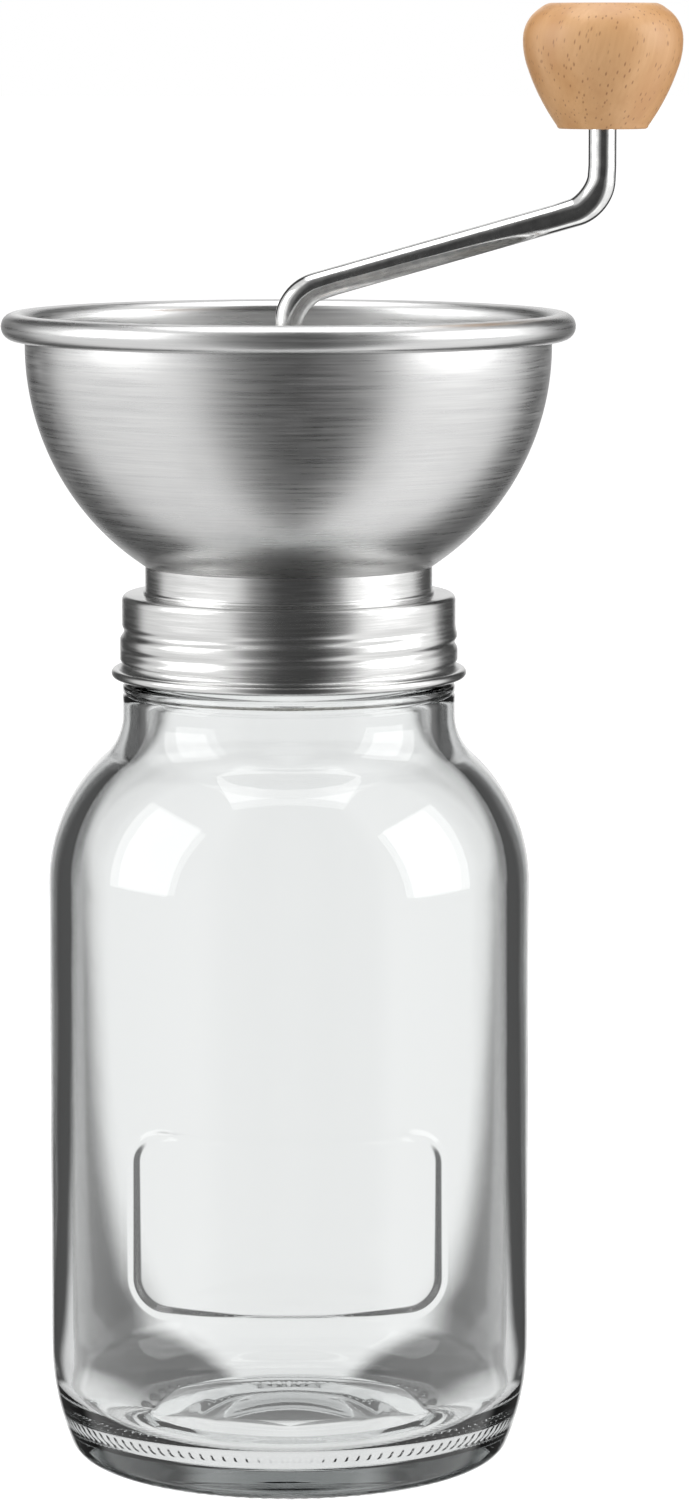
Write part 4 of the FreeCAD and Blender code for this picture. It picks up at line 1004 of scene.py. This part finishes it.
@dataclass
class BurrSpring:
    """The coil spring between the shaft's washer and the inner burr, clear of the burr at its top setting."""

    wire: float = 0.45
    coils: float = 4.5
    slack: float = 0.28
    sides: int = 10
    steps_per_turn: int = 40

    def build(self, finishes: Finishes) -> None:
        """Sweeps the wire's ring round and up."""
        low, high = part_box("burr_spring")
        radius = high.x - self.wire * MM
        bottom = low.z + (self.wire + self.slack) * MM
        climb = high.z - self.wire * MM - bottom
        steps = int(self.coils * self.steps_per_turn)
        shell = bmesh.new()
        upright = Matrix.Translation((radius, 0, bottom)) @ Matrix.Rotation(math.pi / 2, 4, "X")
        ring = bmesh.ops.create_circle(
            shell, segments=self.sides, radius=self.wire * MM, matrix=upright
        )["verts"]
        edges = list({edge for vert in ring for edge in vert.link_edges})
        last = bmesh.ops.spin(
            shell, geom=ring + edges, cent=(0, 0, 0), axis=(0, 0, 1),
            dvec=(0, 0, climb / steps), angle=FULL_TURN * self.coils, steps=steps,
        )["geom_last"]
        bmesh.ops.contextual_create(shell, geom=edges)
        end = [item for item in last if isinstance(item, bmesh.types.BMEdge)]
        bmesh.ops.contextual_create(shell, geom=end)
        bmesh.ops.recalc_face_normals(shell, faces=shell.faces)
        piece = shown("burr_spring" + SUFFIX, shell, 60)
        place(piece, "burr_spring", "crank", finishes.of[Slot.SPRING])


SOFTENED = (
    SoftenedPiece("mouth_seal", "seal", Slot.SILICONE, 0.3),
    SoftenedPiece("burr_housing", "head", Slot.NYLON, 0.2),
    SoftenedPiece("burr_snap_ring", "head", Slot.SPRING, 0.1),
    SoftenedPiece("outer_burr", "head", Slot.CERAMIC, 0.08),
    SoftenedPiece("tie_screws", "head", Slot.SCREW, 0.12),
    SoftenedPiece("bearing_bridge", "head", Slot.SATIN, 0.4),
    SoftenedPiece("shaft_bush", "head", Slot.BRONZE, 0.15),
    SoftenedPiece("drive_shaft", "crank", Slot.TURNED, 0.15),
    SoftenedPiece("thrust_washer", "crank", Slot.TURNED, 0.1),
    SoftenedPiece("spring_washer", "crank", Slot.TURNED, 0.1),
    SoftenedPiece("end_clip", "crank", Slot.SPRING, 0.08),
    SoftenedPiece("crank_socket", "crank", Slot.TURNED, 0.35),
    SoftenedPiece("grub_screw", "crank", Slot.SCREW, 0.1),
    SoftenedPiece("knob_washer", "crank", Slot.TURNED, 0.1),
    SoftenedPiece("knob_screw", "crank", Slot.SCREW, 0.2),
    SoftenedPiece("knob_bush", "knob", Slot.BRONZE, 0.1),
    SoftenedPiece("inner_burr", "burr", Slot.CERAMIC, 0.08),
    SoftenedPiece("burr_driver", "burr", Slot.TURNED, 0.15),
    SoftenedPiece("adjusting_dial", "dial", Slot.NYLON, 0.2),
    SoftenedPiece("dial_insert", "dial", Slot.BRONZE, 0.12),
)


# ---------------------------------------------------------------- studio
@dataclass
class Studio:
    """A pale floor, a bright surround with darker gaps for the metal, soft lamps and the camera."""

    camera_at: tuple[float, float, float] = (0.01182, -1.160, 0.30155)
    camera_down: float = 7.339
    lens: float = 131.77
    floor_size: float = 60.0
    floor_glow: float = 0.56
    sky: float = 0.66
    upper_share: float = 0.88
    # direction round the object in degrees, 0 in front and positive to the right; brightness
    for_steel: tuple[Point, ...] = (
        (-180, 1.0), (-167, 1.0), (-159, 0.07), (-130, 0.06), (-116, 1.0), (-46, 1.15), (-24, 0.26),
        (-8, 0.07), (22, 0.06), (38, 0.26), (54, 1.3), (116, 1.15), (130, 0.06), (159, 0.07),
        (167, 1.0), (180, 1.0),
    )
    for_glass: tuple[Point, ...] = (
        (-180, 1.0), (-166, 1.0), (-158, 0.10), (-134, 0.10), (-122, 0.95), (-60, 0.92), (0, 1.0),
        (60, 0.92), (122, 0.95), (134, 0.10), (158, 0.10), (166, 1.0), (180, 1.0),
    )

    def make_surround(self, name: str, cards: tuple[Point, ...]) -> bpy.types.NodeTree:
        """A ring of cards and gaps round the grinder.

        Args:
            name: The group's name.
            cards: Directions in degrees and the brightness there.

        Returns:
            A group that turns a direction into a brightness.
        """
        group = GroupMaker(name, {"Right": 0.0, "Back": 0.0, "Up": 0.0}, ["Brightness"])
        angle = group.sum("ARCTAN2", group.enter.outputs["Right"],
                          group.sum("MULTIPLY", group.enter.outputs["Back"], -1.0))
        share = group.sum("MULTIPLY_ADD", angle, 1 / FULL_TURN, 0.5)
        ramp = group.add("ValToRGB")
        ramp.color_ramp.interpolation = "EASE"
        stops = ramp.color_ramp.elements
        while len(stops) > 1:
            stops.remove(stops[-1])
        for number, (degrees, bright) in enumerate(cards):
            stop = stops[0] if number == 0 else stops.new((degrees + 180) / 360)
            stop.position = (degrees + 180) / 360
            stop.color = (bright / 2, bright / 2, bright / 2, 1)
        group.join(share, ramp.inputs[0])
        rise = group.add("MapRange", interpolation_type="SMOOTHSTEP")
        rise.inputs["From Min"].default_value = 0.02
        rise.inputs["From Max"].default_value = 0.45
        rise.inputs["To Min"].default_value = 2.0
        rise.inputs["To Max"].default_value = 2.0 * self.upper_share
        group.join(group.enter.outputs["Up"], rise.inputs["Value"])
        bright = group.sum("MULTIPLY", ramp.outputs[0], rise.outputs[0])
        group.join(bright, group.leave.inputs["Brightness"])
        return group.tree

    @staticmethod
    def look_round(tree: bpy.types.NodeTree, surround: bpy.types.NodeTree, source: str) -> bpy.types.Node:
        """Places the surround's group on a world or floor, fed with its directions."""
        place_node = tree.nodes.new("ShaderNodeTexCoord")
        split = tree.nodes.new("ShaderNodeSeparateXYZ")
        tree.links.new(place_node.outputs[source], split.inputs[0])
        cards = tree.nodes.new("ShaderNodeGroup")
        cards.node_tree = surround
        tree.links.new(split.outputs[0], cards.inputs["Right"])
        tree.links.new(split.outputs[1], cards.inputs["Back"])
        if source == "Generated":
            tree.links.new(split.outputs[2], cards.inputs["Up"])
        return cards

    def light_world(self, steel: bpy.types.NodeTree, glass: bpy.types.NodeTree) -> None:
        """The surround: white to the camera, cards and gaps to steel and glass, soft light elsewhere."""
        world = bpy.data.worlds.new("studio")
        bpy.context.scene.world = world
        world.use_nodes = True
        tree = world.node_tree
        back = tree.nodes["Background"]
        rays = tree.nodes.new("ShaderNodeLightPath")
        seen = None
        layers = (("Is Glossy Ray", steel), ("Is Transmission Ray", glass), ("Is Camera Ray", None))
        for label, surround in layers:
            layer = tree.nodes.new("ShaderNodeMix")
            layer.inputs[2].default_value = self.sky
            layer.inputs[3].default_value = 1.0
            tree.links.new(rays.outputs[label], layer.inputs[0])
            if seen is not None:
                tree.links.new(seen, layer.inputs[2])
            if surround is not None:
                tree.links.new(self.look_round(tree, surround, "Generated").outputs[0], layer.inputs[3])
            seen = layer.outputs[0]
        tree.links.new(seen, back.inputs["Color"])

    def make_floor(self, surround: bpy.types.NodeTree) -> None:
        """A pale floor: white with a soft shadow, cards and gaps through glass, unseen by reflections."""
        sheet = bmesh.new()
        bmesh.ops.create_grid(sheet, x_segments=1, y_segments=1, size=self.floor_size / 2)
        floor = shown("floor", sheet)
        floor.visible_glossy = False
        shader = Shader("floor_paper")
        shader.fix(Base_Color=(0.80, 0.80, 0.80, 1.0), Roughness=0.9, Specular_IOR_Level=0.0)
        glow = shader.add("Emission")
        glow.inputs["Strength"].default_value = self.floor_glow
        both = shader.add("AddShader")
        shader.join(shader.main.outputs[0], both.inputs[0])
        shader.join(glow.outputs[0], both.inputs[1])
        through = shader.add("Emission")
        shader.join(self.look_round(shader.tree, surround, "Object").outputs[0], through.inputs["Strength"])
        rays = shader.add("LightPath")
        plain = shader.add("MixShader")
        shader.join(rays.outputs["Is Camera Ray"], plain.inputs[0])
        shader.join(shader.main.outputs[0], plain.inputs[1])
        shader.join(both.outputs[0], plain.inputs[2])
        blend = shader.add("MixShader")
        shader.join(rays.outputs["Is Transmission Ray"], blend.inputs[0])
        shader.join(plain.outputs[0], blend.inputs[1])
        shader.join(through.outputs[0], blend.inputs[2])
        shader.join(blend.outputs[0], shader.out.inputs["Surface"])
        floor.data.materials.append(shader.material)

    @staticmethod
    def add_lamp(name: str, at: tuple[float, float, float], size: tuple[float, float], power: float) -> None:
        """A soft rectangular lamp that faces the middle of the grinder."""
        lamp = bpy.data.lights.new(name, "AREA")
        lamp.shape = "RECTANGLE"
        lamp.size, lamp.size_y = size
        lamp.energy = power
        holder = bpy.data.objects.new(name, lamp)
        holder.location = at
        target = Vector((0, 0, 0.17))
        holder.rotation_euler = (target - Vector(at)).to_track_quat("-Z", "Y").to_euler()
        bpy.context.scene.collection.objects.link(holder)

    def add_camera(self) -> None:
        """The camera, level across and tipped a little down."""
        camera = bpy.data.cameras.new("camera")
        camera.lens = self.lens
        camera.clip_start = 0.01
        holder = bpy.data.objects.new("camera", camera)
        holder.location = self.camera_at
        holder.rotation_euler = (math.radians(90 - self.camera_down), 0, 0)
        bpy.context.scene.collection.objects.link(holder)
        bpy.context.scene.camera = holder

    def build(self) -> None:
        """Sets the stage."""
        bpy.context.scene.view_settings.view_transform = "Standard"
        glass = self.make_surround("surround_for_glass", self.for_glass)
        self.light_world(self.make_surround("surround_for_steel", self.for_steel), glass)
        self.make_floor(glass)
        self.add_lamp("left_soft", (-1.35, -0.35, 0.70), (1.0, 1.2), 8.0)
        self.add_lamp("right_soft", (1.4, -0.30, 0.66), (1.0, 1.2), 9.0)
        self.add_lamp("top_soft", (0.0, 0.1, 1.5), (1.2, 1.2), 9.0)
        self.add_camera()


def main() -> None:
    """Builds every piece, then the studio."""
    logging.basicConfig(level=logging.INFO, format="%(name)s: %(message)s")
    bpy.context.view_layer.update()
    finishes = Finishes()
    for part in (Jar(), ScrewCollar(), NeckRing(), HopperBowl(), CrankArm(), Knob(), BurrSpring(), *SOFTENED):
        part.build(finishes)
    Studio().build()


if __name__ == "__main__":
    main()
